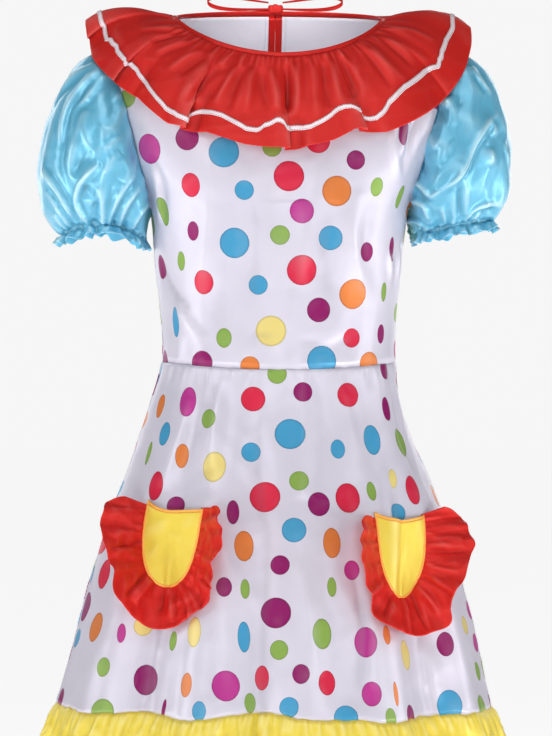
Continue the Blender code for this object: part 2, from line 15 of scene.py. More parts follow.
import bmesh
import bpy
import numpy as np
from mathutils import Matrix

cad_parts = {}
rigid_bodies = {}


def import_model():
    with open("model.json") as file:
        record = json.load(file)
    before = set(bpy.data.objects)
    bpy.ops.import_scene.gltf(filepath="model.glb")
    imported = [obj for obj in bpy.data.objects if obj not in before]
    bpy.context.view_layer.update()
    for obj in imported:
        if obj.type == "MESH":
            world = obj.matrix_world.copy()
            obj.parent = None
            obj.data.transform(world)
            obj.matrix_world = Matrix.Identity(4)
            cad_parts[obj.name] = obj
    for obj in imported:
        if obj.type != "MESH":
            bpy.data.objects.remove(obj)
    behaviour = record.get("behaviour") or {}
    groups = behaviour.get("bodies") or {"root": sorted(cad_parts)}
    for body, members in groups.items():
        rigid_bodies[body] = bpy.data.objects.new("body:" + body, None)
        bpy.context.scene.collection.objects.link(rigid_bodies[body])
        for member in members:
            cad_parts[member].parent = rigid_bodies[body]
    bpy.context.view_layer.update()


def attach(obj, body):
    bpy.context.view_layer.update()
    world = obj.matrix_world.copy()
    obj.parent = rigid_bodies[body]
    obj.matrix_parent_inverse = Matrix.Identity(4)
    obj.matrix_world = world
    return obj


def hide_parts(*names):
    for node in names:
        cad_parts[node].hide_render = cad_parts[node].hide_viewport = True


bl_info = {
    "name": "Clown dress",
    "version": (1, 0, 0),
    "blender": (4, 5, 0),
    "location": "View3D > Sidebar > Clown dress",
    "description": "Builds the pieces of a dotted satin clown dress and its studio",
    "category": "Object",
}

for old in list(bpy.data.objects):
    bpy.data.objects.remove(old)
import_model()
BODY = "root"

# ---- the view

VIEW_WIDTH, VIEW_HEIGHT = 552, 736  # pixels
PIXEL = 0.0012  # metres that one pixel spans at the aim
MM = 0.001
CAMERA_TURN = math.radians(-3.5)
CAMERA_DISTANCE = 4.5
SENSOR = 36.0  # mm
AIM = np.array([-0.0036, 0.0, -0.420])  # the middle of the view
RIGHT = np.array([math.cos(CAMERA_TURN), math.sin(CAMERA_TURN), 0])
AHEAD = np.array([-math.sin(CAMERA_TURN), math.cos(CAMERA_TURN), 0])
UP = np.array([0.0, 0.0, 1.0])
EYE = AIM - AHEAD * CAMERA_DISTANCE

# ---- driving sizes

WALL = 0.0014  # cloth wall of the garment's pieces
SEAM = 0.0005  # gap between two pieces sewn edge to edge
LAYER_GAP = 0.0006  # gap between a piece and the panel that it lies on
WAIST_GAP = 0.0007
SHOULDER_GAP = 0.0016
WAIST_Z = -0.422  # waist seam at the centre front
WAIST_LIFT = 0.009  # how much higher the waist seam is at the sides
HEM_SEAM_Z = -0.822  # where the hem ruffle is sewn on
ARMPIT_Z = -0.235
NECK_HALF_WIDTH, NECK_CENTRE_Y = 0.122, 0.005
NECK_FRONT, NECK_BACK = 0.085, 0.060  # from the middle of the neck hole to its edge
NECK_DROP, NECK_RISE = 0.044, 0.010  # front edge below the origin, back edge above it
NECK_EASE = 0.0040  # how much the cloth's edge sinks in front and rises behind
BINDING_DEPTH, BINDING_WALL = 0.0065, 0.0032  # of the neck
SLIT_BOTTOM_Z, SLIT_POINT = -0.165, 0.037  # where the slit starts, and its pointed foot
SLIT_BINDING_WIDTH, SLIT_BINDING_WALL = 0.0078, 0.0022
SHOULDER_TIP_X, SHOULDER_TIP_Z = 0.203, -0.045
ARMHOLE_SLOPE = 0.263  # how fast the armhole leans out with height
ARMHOLE_Z, ARMHOLE_HALF_HEIGHT = -0.140, 0.095
ARMHOLE_FRONT, ARMHOLE_BACK = 0.062, 0.066
COLLAR_HALF_WIDTH = 0.231
COLLAR_EDGE_Z = -0.004  # outer edge at the sides
COLLAR_FRONT_DROP, COLLAR_BACK_DROP = 0.158, 0.085
COLLAR_FRONT, COLLAR_BACK = 0.145, 0.120
RIBBON_IN, RIBBON_WIDTH = 0.20, 0.052  # from the outer edge, as shares of the depth
CUFF_FRILL = 0.012  # depth of the frill past the sleeve's elastic
HEM_RUFFLE_DEPTH, HEM_RUFFLE_FLARE, HEM_WAVE = 0.075, 0.029, 0.0055
HEM_SIDE_GAP = 0.04  # of a skirt column, between the ruffle's front and back
POCKET_HALF_WIDTH, POCKET_DEPTH, POCKET_MOUTH = 0.0365, 0.0965, 0.0085
RUFFLE_WIDTH, RUFFLE_WAVE, RUFFLE_GATHERS = 0.054, 0.0040, 12
RUFFLE_END_TAPER = 0.22  # how much narrower the pocket ruffle is at its two ends
TIE_WIDTH, LOOP_LENGTH = 0.007, 0.074
END_REACH = 0.086  # of the tie's end that lies on the wearer's right
HANG_DOWN, HANG_OUT = 0.105, 0.052  # of the end that hangs
STRIP_HALF = 0.00055  # half a folded strip's thickness
KNOT_HALF = (0.0080, 0.0060, 0.0058)
KNOT_SPREAD = (1.18, 0.9, 1.12)  # how much wider, deeper and taller the folded cloth is

SHEET = 0.0008  # thickness of the cloth
TRIM = 0.0006  # thickness of the ribbon
RIBBON_LIFT = 0.0012  # how far the ribbon stands off the collar, both faces together
SLEEVE_GAP = 0.0009  # between the armhole and the sleeve's seam
# the unit of the painted highlight on fold crests and the painted shade in fold troughs
FOLD_HEIGHT = 0.0009  # of a fold over the cloth round it, as the unit of its shading
ROLL_SQUARE = 0.75  # how square a flattened roll of cloth is: 1 for an ellipse


def table(columns, rows):
    """A table as one array for each named column."""
    return dict(zip(columns.split(), np.array(rows, float).T))


# The body of the dress by height: half its width, and its depth in front and behind.
TORSO = table(
    "z half_width front back",
    [
        (-0.424, 0.139, 0.105, 0.098), (-0.35, 0.142, 0.108, 0.101), (-0.29, 0.149, 0.114, 0.105),
        (-0.235, 0.153, 0.118, 0.108), (-0.17, 0.153, 0.115, 0.11), (-0.105, 0.153, 0.103, 0.105),
        (-0.06, 0.153, 0.088, 0.096), (0.012, 0.153, 0.07, 0.064),
    ],
)
SKIRT_COLUMNS, SKIRT_ROWS = 28, 9
SKIRT_SWAY, SKIRT_TILT = 0.006, 0.003  # the hem hangs to the wearer's right, lower on the left
SKIRT_FLARE = 0.0085  # how much further out the cloth stands below the waist on the right
SKIRT = table(
    "z half_width front back",
    [
        (-0.824, 0.261, 0.182, 0.176), (-0.758, 0.246, 0.17, 0.165), (-0.662, 0.22, 0.151, 0.147),
        (-0.602, 0.203, 0.139, 0.135), (-0.554, 0.184, 0.127, 0.123), (-0.506, 0.162, 0.117, 0.112),
        (-0.458, 0.147, 0.109, 0.103), (-0.413, 0.139, 0.105, 0.098),
    ],
)
# Soft upright folds of the skirt: where each is, how wide, how far it stands out at
# the hem, and how much it lowers the hem seam there.
SKIRT_FOLDS_FRONT = table(
    "angle width stand drop",
    [
        (-56, 9, 0.012, 0.003), (-38, 7, -0.013, -0.002), (-24, 9, 0.013, 0.004), (-7, 8, -0.016, -0.004),
        (10, 6, 0.005, 0.003), (27, 9, 0.014, 0.006), (43, 7, -0.014, 0.002), (58, 8, 0.011, 0.001),
    ],
)
SKIRT_FOLDS_BACK = table(
    "angle width stand drop",
    [
        (116, 9, 0.012, 0.001), (136, 8, -0.014, -0.003), (156, 9, 0.013, 0.004), (176, 8, -0.012, -0.002),
        (196, 10, 0.014, 0.003), (219, 8, -0.013, -0.002), (240, 9, 0.011, 0.002),
    ],
)
# Rows of the bodice panels. Up to the armpit they end at the side seam, and above it
# on the armhole, at an angle round it that is 180 at the armpit and 0 at the shoulder.
# spread is the angle that the row turns through from its middle to its end.
BODICE_ROWS = table(
    "armhole spread front_z back_z",
    [
        (180, 90, -0.235, -0.235), (155, 80, -0.221, -0.220), (130, 71, -0.199, -0.196),
        (105, 64, -0.171, -0.165), (80, 60, -0.140, -0.128), (55, 57, -0.107, -0.088),
        (30, 55, -0.077, -0.047),
    ],
)
LOWER_ROWS = 4  # from the waist to the armpit
NECK_COLUMN = 3 / 5  # share of a panel's half width where the neckline meets the shoulder
# Directions away from the neck, in front, at the side and behind: of the panel, of the
# collar where it is sewn on, and of the collar at its edge.
PANEL_LEAVES = ((0, -0.30, -0.95), (0.93, 0, -0.37), (0, 0.45, -0.89))
COLLAR_LEAVES = ((0, -0.50, -0.87), (0.92, 0, 0.38), (0, 0.72, -0.70))
COLLAR_ARRIVES = ((0, -0.42, -0.91), (0.76, 0, -0.65), (0, 0.40, -0.92))
COLLAR_BENDS = (0.040, 0.036)  # how far the collar keeps to the last two
# Folds of the collar, as angles round its outer edge.
COLLAR_FOLDS = (-176, -148, -116, -84, -52, -27.6, 1.7, 25.6, 56.7, 88, 119, 150, 176)
# The sleeves. The cuff ring's centre and half sizes, its height at the outer side, in
# front and at the inner side, and how far the cloth swells before it at the outer side.
SLEEVES = {
    "sleeve_left": {
        "side": 1,
        "cuff_x": 0.2065,
        "cuff_half": (0.0485, 0.040),
        "cuff_z": (-0.242, -0.250, -0.260),
        "cap_swell": (0.051, 0.024),
        "cuff_swell": (0.058, 0.071),
    },
    "sleeve_right": {
        "side": -1,
        "cuff_x": 0.2085,
        "cuff_half": (0.0500, 0.040),
        "cuff_z": (-0.261, -0.249, -0.268),
        "cap_swell": (0.054, 0.022),
        "cuff_swell": (0.073, 0.050),
    },
}
# How far both sleeves swell at the front and back and at the inner side, past the cap and
# before the cuff: out from the body, upward, and at most forward and back.
CAP_SWELL = ((0.012, 0.005), (-0.002, -0.008), 0.030)
CUFF_SWELL = ((0.010, 0.003), (0.036, 0.008), 0.052)
# The pockets: the angle round the skirt of the pouch's middle, the height of its mouth,
# and how far its foot leans aside.
POCKETS = {
    "left": {"angle": 43.5, "z": -0.594, "side": 1, "lean": -0.18},
    "right": {"angle": -40.2, "z": -0.582, "side": -1, "lean": 0.08},
}
# How steeply each pocket's ruffle stands up off the skirt, by how far round the pouch it
# is from the outer end, in degrees of a half turn.
RUFFLE_STAND = table(
    "turn left right",
    [
        (0, 16, 46), (40, 34, 60), (68, 50, 60), (90, 26, 18), (108, 12, 6), (130, 30, 24), (180, 42, 44),
    ],
)

# Lobes and notches of the ruffles' outer edges, by side: where, how wide and how much.
RUFFLE_LOBES = {
    -1: ((72, 5, 0.12), (57, 7, -0.08), (106, 8, -0.06), (131, 6, -0.18), (150, 10, 0.12)),
    1: ((31, 5, 0.10), (66, 5, -0.06), (77, 4, 0.16), (120, 9, -0.12), (150, 8, 0.08)),
}

# Creases of the pockets' ruffles, as ridges along paths in the view: half the width and
# the height, in millimetres, and the path. A trough's height is negative. The tables of
# the other pieces' creases are read in the same way.
RUFFLE_CREASES = {
    "right": [
        (3.5, -3.2, (147, 541), (128, 544), (110, 548)), (6, 3, (147, 530), (125, 532), (108, 535)),
        (3.2, -3.8, (154, 566), (140, 580), (126, 597)), (5, 3.2, (157, 572), (145, 588), (135, 603)),
        (3.4, -2.8, (163, 585), (162, 600), (160, 612)), (3.4, 3, (170, 590), (171, 605), (172, 622)),
        (3.4, -2.8, (180, 591), (184, 605), (187, 622)), (3.6, 2.8, (187, 588), (194, 600), (198, 612)),
        (3.6, -2.8, (197, 575), (206, 585), (212, 595)), (4, 2.8, (201, 560), (212, 562), (224, 560)),
        (7, 3, (145, 515), (128, 510), (112, 510)),
    ],
    "left": [
        (3.4, -3.6, (428, 550), (448, 551), (468, 550)), (6, 3, (430, 540), (448, 538), (464, 538)),
        (3.6, 3, (424, 565), (442, 569), (460, 573)), (3.6, -3, (421, 576), (436, 586), (452, 598)),
        (3.8, 3.2, (417, 586), (430, 600), (442, 616)), (3.6, -3, (411, 592), (418, 610), (427, 630)),
        (3.8, 3, (402, 597), (406, 615), (410, 634)), (3.6, -2.8, (392, 592), (388, 606), (384, 618)),
        (4, 2.8, (383, 583), (374, 592), (366, 600)), (6, 2.6, (430, 524), (448, 520), (462, 520)),
    ],
}

FINE = {
    "bodice": (6, 120),  # parts of each row step, and columns
    "skirt": (12, 7),  # parts of each row and column step
    "hem": (14, 20),  # rows, and columns for each of the skirt's
    "sleeve": (96, 224),  # rows from the cap to the elastic, and columns
}
FRILL_ROWS = 8  # of a sleeve, past its elastic
# Where each piece's random draws start.
SEEDS = {
    "bodice_front": 11, "bodice_front_dots": 21, "bodice_back": 31, "bodice_back_dots": 41,
    "collar": 51, "sleeve_cap": 61, "sleeve_cuff": 71, "sleeve_pull": 81, "sleeve_folds": 91,
    "sleeve_puckers": 95, "sleeve_crinkles": 98, "skirt": 101, "hem": 121, "skirt_dots": 131,
    "pouch": 141, "pocket_ruffle": 151,
}
# Small folds that leave a gathered seam: how far apart they are, how far they reach and
# how high they stand, in metres.
GATHERS = {
    "bodice_waist": (0.017, 0.022, 0.0014),
    "collar_neck": (0.0062, 0.024, 0.0019),
    "collar_long": (0.016, 0.06, 0.0015),
    "sleeve_cap": (0.012, 0.034, 0.0022),
    "sleeve_cuff": (0.0095, 0.02, 0.0022),
    "sleeve_long": (0.021, 0.052, 0.003),
    "skirt_waist": (0.012, 0.024, 0.0016),
    "skirt_long": (0.036, 0.11, 0.0018),
    "skirt_foot": (0.016, 0.014, 0.001),
    "hem_fine": (0.006, 0.03, 0.0017),
    "hem_long": (0.0125, 0.048, 0.0018),
    "ruffle_fine": (0.014, 0.03, 0.0013),
    "ruffle_long": (0.03, 0.06, 0.0018),
}
CAP_ROUND, CUFF_ROUND = 0.33, 0.29  # metres that a sleeve's gathers have round cap and cuff
# Unevenness of the cloth: how high its ridges stand, how far apart they are, and how
# soft they are on top.
UNEVEN = {
    "bodice_drape": (0.0007, 0.075, 0.8),
    "bodice_puckers": (0.00025, 0.026, 0.8),
    "collar": (0.0009, 0.045, 0.8),
    "sleeve_folds": (0.0018, 0.05, 1.8),
    "sleeve_puckers": (0.0003, 0.022, 0.8),
    "sleeve_crinkles": (0.0011, 0.009, 0.8),
    "skirt_drape": (0.0011, 0.11, 0.8),
    "skirt_puckers": (0.0003, 0.032, 0.8),
    "skirt_edge": (0.0013, 0.018, 1.6),
    "hem": (0.001, 0.016, 0.8),
    "pouch": (0.0007, 0.03, 0.8),
    "pocket_ruffle": (0.001, 0.024, 0.8),
}
# How deep and how wide creases are pressed, against their tables.
BODICE_PRESS, SKIRT_PRESS, COLLAR_PRESS, COLLAR_WIDER = 1.9, 1.5, 0.72, 1.2
# How much lower in the view the back's creases are than the front's.
BACK_CREASE_DROP = {"bodice": 6, "sleeve": 4, "collar": 30}
# How far from its seams each cloth is calmer, and how far gathers are held flat by them.
CALM = {"bodice": 0.012, "skirt": 0.015, "sleeve": 0.03, "ruffle": 0.02}
SEAM_HELD = 0.005
SKIRT_EDGE_REACH, CRINKLE_REACH = 0.010, 0.016  # how far puckers go up from hem and elastic
BACK_EASE = 0.030  # how far from the back's middle the panels are drawn aside
SLIT_TOP_GAP = 0.0012  # between the slit's bindings and the neck's
GRAZING, NEARBY = 0.15, 0.008  # for finding the cloth's place under a point of the view
# Rows of a turned-in edge: how far past the seam, or short of it, and how far inside.
TURNED_ROWS = ((0.0001, 0.0005), (-0.0003, 0.0012), (-0.0014, 0.0019), (-0.004, 0.0023))
# Dots are charted where the cloth faces the view more squarely than this, below the collar.
EDGE_ON, UNDER_COLLAR = -0.28, 100

# The inks of the dots, as the screen shows them.
INKS = {
    "magenta": (180, 54, 138),
    "purple": (138, 24, 96),
    "red": (206, 38, 68),
    "blue": (68, 152, 194),
    "orange": (214, 122, 60),
    "green": (132, 164, 76),
    "yellow": (222, 203, 124),
}
DOT_RADIUS = {"S": 0.0115, "M": 0.0145, "L": 0.0180}
DOT_GAP, CLOSE_GAP = 0.012, 0.6  # between dots, and the share of it that later tries keep
DOT_TRIES, ROOMY_TRIES = 6000, 4000  # for scattering them: in all, and with the whole gap
DOT_AREA = 0.00238  # cloth for each dot, in square metres

# The dots of the print where they are seen, by ink: size, place in the view, and how narrow
# gathered cloth makes them, where it does.
BODICE_DOTS = {
    "magenta": (
        ("L", 149, 149, 0.85), ("M", 302, 211),
    ),
    "purple": (
        ("M", 187, 138), ("S", 356, 160), ("S", 193, 231, 0.75), ("S", 367, 252, 0.9), ("M", 392, 249, 0.35),
        ("M", 161, 267, 0.7), ("M", 319, 310), ("S", 381, 334, 0.6), ("S", 162, 338, 0.5), ("M", 202, 363),
        ("M", 403, 133, 0.45),
    ),
    "blue": (
        ("L", 224, 152), ("S", 244, 190), ("L", 234, 243), ("M", 331, 238), ("S", 258, 285),
        ("L", 176, 322, 0.36), ("L", 322, 361),
    ),
    "green": (
        ("S", 272, 147), ("S", 377, 187, 0.75), ("M", 400, 197, 0.35), ("L", 164, 211, 0.42),
        ("S", 280, 235), ("S", 181, 261, 0.55), ("S", 159, 301, 0.5), ("S", 384, 292, 0.45),
        ("S", 224, 338, 0.85), ("S", 127, 98),
    ),
    "red": (
        ("M", 318, 141), ("L", 289, 176), ("M", 191, 185, 0.85), ("L", 302, 270), ("M", 204, 282, 0.87),
        ("S", 352, 338),
    ),
    "orange": (
        ("L", 337, 191), ("L", 353, 294), ("M", 369, 364), ("S", 250, 366),
    ),
    "yellow": (
        ("L", 271, 331),
    ),
}
SKIRT_DOTS = {
    "green": (
        ("S", 277, 374), ("S", 209, 419, 0.85), ("L", 402, 442, 0.62), ("M", 148, 453, 0.3), ("S", 299, 481),
        ("S", 372, 491, 0.6), ("S", 245, 589, 0.48), ("S", 332, 587, 0.48), ("S", 173, 641, 0.5),
        ("S", 279, 650, 0.95), ("L", 322, 634, 0.62), ("S", 250, 703, 0.58), ("S", 103, 667, 0.8),
        ("M", 102, 711), ("S", 478, 671, 0.8), ("S", 391, 718, 0.6),
    ),
    "purple": (
        ("S", 384, 370, 0.8), ("S", 303, 392), ("M", 386, 409, 0.5), ("M", 133, 451, 0.5),
        ("M", 319, 504, 0.9), ("S", 176, 506), ("M", 233, 512, 0.52), ("S", 280, 565), ("S", 224, 587, 0.8),
        ("L", 276, 613), ("S", 301, 674, 0.9), ("L", 146, 680, 0.82), ("M", 446, 644, 0.8),
        ("M", 492, 708, 0.4), ("M", 411, 717, 0.65), ("S", 164, 709, 0.3),
    ),
    "red": (
        ("M", 253, 399), ("M", 348, 395), ("L", 265, 497), ("L", 348, 498, 0.83), ("L", 413, 490, 0.6),
        ("L", 156, 486, 0.54), ("L", 104, 574, 0.75), ("M", 262, 678, 0.56), ("M", 327, 683, 0.68),
    ),
    "orange": (
        ("S", 409, 415, 0.5), ("M", 160, 406, 0.5), ("M", 182, 456, 0.56), ("M", 436, 495, 0.5),
        ("L", 244, 546, 0.64), ("L", 332, 543, 0.58), ("L", 95, 627, 0.82), ("S", 387, 635, 0.45),
        ("M", 396, 694, 0.22), ("M", 186, 685, 0.46), ("S", 475, 630, 0.4),
    ),
    "magenta": (
        ("L", 188, 402, 0.58), ("S", 352, 570, 0.8), ("S", 121, 633, 0.5), ("L", 366, 642, 0.74),
        ("L", 226, 686, 0.94), ("M", 372, 694, 0.82),
    ),
    "blue": (
        ("M", 165, 434, 0.6), ("L", 290, 434), ("S", 251, 452), ("S", 338, 449, 0.75), ("L", 372, 440, 0.66),
        ("S", 421, 457, 0.5), ("S", 121, 488, 0.7), ("S", 397, 513), ("M", 294, 530), ("L", 244, 637, 0.42),
        ("S", 199, 711, 0.7), ("L", 450, 705, 0.88), ("S", 289, 707), ("M", 346, 718),
    ),
    "yellow": (
        ("L", 214, 467, 0.8), ("S", 392, 479, 0.5), ("S", 143, 626), ("L", 194, 632, 0.45),
        ("L", 406, 655, 0.5),
    ),
}

SLEEVE_LOW = 160  # in the view, where the sleeves' deeper creases begin
SLEEVE_PRESS = (1.1, 1.3)  # how much deeper they are pressed above that and below it
# How much wider a sleeve's troughs and its ridges are than in the table, and their look.
CREASE_LOOKS = (
    (1.4, {"crisp": 1.7}),
    (1.15, {"crisp": 1.15, "lean": 0.4, "taper": 0.6}),
)
FRILL_FLARE = 0.006  # how much wider a cuff's frill is at its edge
FRILL_WAVE, FRILL_DROP = 0.0040, 0.0026  # how far it waves, and how far its edge drops
ELASTIC_ROWS, ELASTIC_GROOVE = (-1.5, 1.5), 0.0007  # rows from the elastic's middle, and depth
SLEEVE_CREASES = {
    "sleeve_right": [
        (4.8, 4.2, (103, 67), (84, 82), (70, 101), (61, 125), (59, 144)),
        (4.2, 3.8, (107, 74), (94, 85), (86, 98), (74, 110), (69, 136)),
        (5.5, -4, (104, 72), (78, 104), (66, 137), (62, 164), (69, 191)),
        (4.8, 3, (98, 62), (80, 72), (64, 88), (52, 108)), (7, -3, (110, 78), (112, 104), (108, 128)),
        (3.2, 1.8, (104, 152), (113, 143), (122, 137)),
        (3, 4.2, (101, 164), (88, 174), (79, 187), (76, 202), (83, 216), (93, 231)),
        (2.8, 2.2, (97, 180), (97, 193), (90, 207)), (5.2, -2.6, (87, 184), (86, 200)),
        (5.6, 4.2, (120, 152), (108, 166), (101, 184), (103, 206), (104, 230)),
        (8, 2.6, (122, 158), (128, 170), (124, 182)),
        (3, 3.8, (134, 174), (121, 193), (112, 213), (107, 232)),
        (3, 3.6, (139, 186), (126, 206), (118, 231)), (3.2, 3.4, (150, 200), (139, 213), (131, 234)),
        (3.6, -2.6, (106, 172), (95, 196), (96, 222)),
        (3.4, 4.4, (41, 166), (52, 184), (65, 203), (78, 226)), (3, 3.4, (46, 190), (58, 206), (72, 230)),
        (3, 3, (56, 212), (62, 222), (68, 231)), (7, -3.4, (92, 150), (80, 160), (72, 176)),
        (3, -3, (70, 205), (74, 218), (84, 232)), (8, 2.6, (88, 110), (84, 130), (90, 150)),
    ],
    "sleeve_left": [
        (4.2, 3.6, (471, 66), (479, 81), (490, 95)), (3.2, -2.6, (473, 74), (478, 84), (485, 94)),
        (9, -5.2, (462, 72), (460, 95), (459, 114), (455, 150), (440, 165), (415, 171)),
        (8, 3.4, (446, 95), (447, 108)), (10, 4, (432, 134), (435, 150)),
        (3.6, 4.8, (497, 114), (485, 125), (474, 144), (466, 164), (455, 179), (444, 188), (431, 196)),
        (3.2, 4.2, (440, 190), (431, 196), (422, 187), (413, 183), (409, 197)),
        (8, 3.4, (462, 160), (457, 180), (452, 190)), (3.4, -4.2, (460, 178), (460, 207), (461, 221)),
        (3.2, 3.6, (409, 201), (424, 205), (428, 219)), (3, 3, (408, 219), (419, 223), (427, 229)),
        (3.2, 4.4, (498, 202), (484, 204), (473, 210), (464, 222)),
        (2.6, 2.6, (489, 208), (478, 214), (469, 222)), (3.2, -3, (474, 221), (483, 212), (491, 207)),
        (3.2, 3, (504, 140), (506, 155), (506, 170)), (7, 3, (494, 122), (493, 136)),
        (8, 3.4, (490, 148), (490, 166)), (6, -2.6, (440, 105), (444, 125), (446, 140)),
        (4.2, 2.8, (425, 120), (418, 140), (412, 160)), (3.2, 2.8, (440, 205), (444, 216), (446, 226)),
    ],
}
BODICE_CREASES = [
    (4.5, 3, (412, 112), (404, 130), (401, 160)), (5, 2.6, (398, 113), (393, 140), (400, 180)),
    (4, 2.2, (390, 250), (391, 265), (392, 280)), (4, 2.2, (400, 245), (398, 268), (396, 290)),
    (6.5, 1.6, (176, 300), (186, 322), (205, 345)), (14, 2, (208, 130), (211, 190), (206, 260), (200, 330)),
    (12, 1.4, (300, 200), (303, 245), (298, 290)), (13, 2, (358, 190), (352, 240), (364, 300)),
    (8, -1.6, (160, 260), (172, 290), (190, 310)), (16, -1.6, (250, 180), (256, 240), (250, 310)),
    (15, -1.6, (330, 200), (326, 260), (334, 320)), (6, 2.2, (150, 165), (158, 190), (160, 225)),
    (5, 1, (240, 352), (262, 345), (285, 352)), (5, -1, (300, 340), (330, 346), (352, 338)),
]
SKIRT_CREASES = [
    (7, 3, (386, 470), (388, 520), (394, 600)), (11, 2, (300, 380), (305, 430), (303, 500)),
    (10, 2.2, (222, 378), (214, 420), (208, 470)), (11, 2.2, (340, 378), (350, 420), (358, 480)),
    (13, -2.2, (262, 390), (258, 450), (262, 520)), (9, 2, (190, 395), (178, 440), (160, 490)),
    (9, -2, (392, 385), (400, 430), (418, 480)), (12, 2, (300, 560), (312, 620), (318, 680)),
    (11, -1.8, (205, 600), (214, 650), (212, 700)), (10, -2.2, (352, 560), (362, 620), (360, 690)),
    (9, 2, (420, 640), (432, 670), (438, 705)),
]

# Where the collar is laid over itself: the place along COLLAR_FOLDS, which may be between
# two folds, how far the layers overlap, how high they stand, and which side lies on top.
COLLAR_LAPS = [
    (0, 0.006, 0.0036, 1), (1.1, 0.008, 0.0044, -1), (2, 0.007, 0.0036, 1), (3, 0.007, 0.0036, 1),
    (3.72, 0.009, 0.0042, 1), (4.84, 0.012, 0.005, 1), (5.96, 0.01, 0.0044, 1), (6.94, 0.012, 0.0048, 1),
    (8.04, 0.004, 0.0004, -1), (9, 0.009, 0.0046, 1), (10.1, 0.007, 0.0036, -1), (11, 0.008, 0.0044, 1),
    (12, 0.006, 0.0036, -1),
]
COLLAR_CREASES = [
    (5, -4.6, (222, 66), (203, 82), (186, 103)), (9, 3.4, (212, 68), (194, 84), (177, 103)),
    (3.8, 3.4, (236, 66), (222, 90), (214, 104)), (4.2, -3.4, (243, 68), (234, 92), (228, 110)),
    (5, 3.4, (251, 68), (249, 92), (245, 112)), (4.4, -2.6, (262, 70), (264, 92), (268, 110)),
    (4.4, 3, (270, 68), (276, 92), (277, 108)), (4.6, -4.6, (286, 64), (288, 92), (285, 116)),
    (6, 3.8, (295, 64), (298, 92), (296, 120)), (6, 2.4, (311, 64), (314, 94), (318, 120)),
    (5, -2.6, (322, 63), (326, 90), (330, 108)), (5, 3.4, (331, 60), (338, 90), (343, 106)),
    (4.4, -4.8, (342, 57), (352, 82), (361, 109)), (7, 3.8, (351, 57), (364, 80), (378, 104)),
    (4.4, -3, (364, 51), (380, 70), (392, 88)), (5.5, 3.2, (370, 48), (389, 66), (406, 82)),
    (4, -3, (380, 38), (400, 54), (414, 68)), (5.5, 3.2, (378, 35), (402, 46), (428, 63)),
    (4.2, 2.8, (384, 29), (411, 31), (434, 41)), (3.4, 2.6, (184, 30), (160, 28), (140, 29)),
    (3.2, -2.4, (187, 35), (170, 38), (150, 42)), (4, 2.8, (190, 41), (172, 46), (154, 53)),
    (4, 2.8, (203, 50), (186, 58), (168, 70)), (4, -2.6, (210, 56), (194, 66), (180, 76)),
    (7, 2.6, (120, 20), (116, 34), (122, 46)), (9, -2.4, (150, 60), (146, 70), (150, 82)),
]
# Where the middle of the ribbon runs in the view.
RIBBON_PATH = (
    ((102, 11), (107, 39), (110, 40), (116, 47), (124, 60), (127, 64), (133, 66), (143, 79))
    + ((162, 104), (174, 113), (188, 120), (195, 113), (206, 112), (222, 116), (240, 126))
    + ((256, 130), (269, 124), (281, 120), (286, 124), (289, 129), (311, 126), (327, 118))
    + ((339, 109), (357, 107), (364, 118), (374, 119), (383, 112), (393, 97), (411, 83))
    + ((430, 68), (437, 67), (441, 57), (446, 41), (454, 24))
)
# How much further down the collar's edge hangs by its angle, in metres.
COLLAR_EDGE = table(
    "angle drop",
    [
        (-75, 0), (-50, -0.011), (-36, 0.001), (-24, -0.006), (-12, 0.002), (3, 0.002), (14, -0.003),
        (22, -0.013), (31, 0.002), (46, 0.003), (75, 0),
    ],
)


# ---- curves and grids


def smooth(sheet, column, key, at):
    """A table's column at key values between its rows, on one smooth curve."""
    order = np.argsort(sheet[key])
    x, y = sheet[key][order], sheet[column][order]
    slope = np.gradient(y, x)
    at = np.clip(at, x[0], x[-1])
    i = np.clip(np.searchsorted(x, at) - 1, 0, len(x) - 2)
    step = x[i + 1] - x[i]
    t = (at - x[i]) / step
    start = y[i] * (1 + 2 * t) * (1 - t) ** 2 + step * slope[i] * t * (1 - t) ** 2
    end = y[i + 1] * t**2 * (3 - 2 * t) + step * slope[i + 1] * t**2 * (t - 1)
    return start + end


def point(*xyz):
    """x, y and z, numbers or arrays, as one array of points."""
    return np.stack(np.broadcast_arrays(*map(np.asarray, xyz)), axis=-1).astype(float)


def unit(vectors):
    return vectors / np.linalg.norm(vectors, axis=-1, keepdims=True)


def bezier(p0, p1, p2, p3, t):
    return (1 - t) ** 3 * p0 + 3 * t * (1 - t) ** 2 * p1 + 3 * t**2 * (1 - t) * p2 + t**3 * p3


def joined_round(grid):
    """A closed grid with the column before its first and the one after its last."""
    return np.concatenate([grid[:, -2:-1], grid, grid[:, 1:2]], axis=1)


def normals(grid, loop=False):
    """Unit normals of a grid of points, rows first."""
    down = np.gradient(grid, axis=0)
    if loop:
        wide = joined_round(grid)
        across = (wide[:, 2:] - wide[:, :-2]) / 2
    else:
        across = np.gradient(grid, axis=1)
    return unit(np.cross(across, down))


def around(angle, top, side, bottom):
    """A value that is top at 0 degrees, side at 90 and 270, and bottom at 180."""
    mean = (top + 2 * side + bottom) / 4
    return mean + (top - bottom) / 2 * np.cos(angle) + (top - 2 * side + bottom) / 4 * np.cos(2 * angle)


def read_grid(grid, row, column):
    """Points of a grid at fractional rows and columns, on its own straight edges."""
    row = np.clip(row, 0, grid.shape[0] - 1.000001)
    column = np.clip(column, 0, grid.shape[1] - 1.000001)
    r, c = row.astype(int), column.astype(int)
    fr, fc = (row - r)[..., None], (column - c)[..., None]
    upper = grid[r, c] * (1 - fc) + grid[r, c + 1] * fc
    lower = grid[r + 1, c] * (1 - fc) + grid[r + 1, c + 1] * fc
    return upper * (1 - fr) + lower * fr


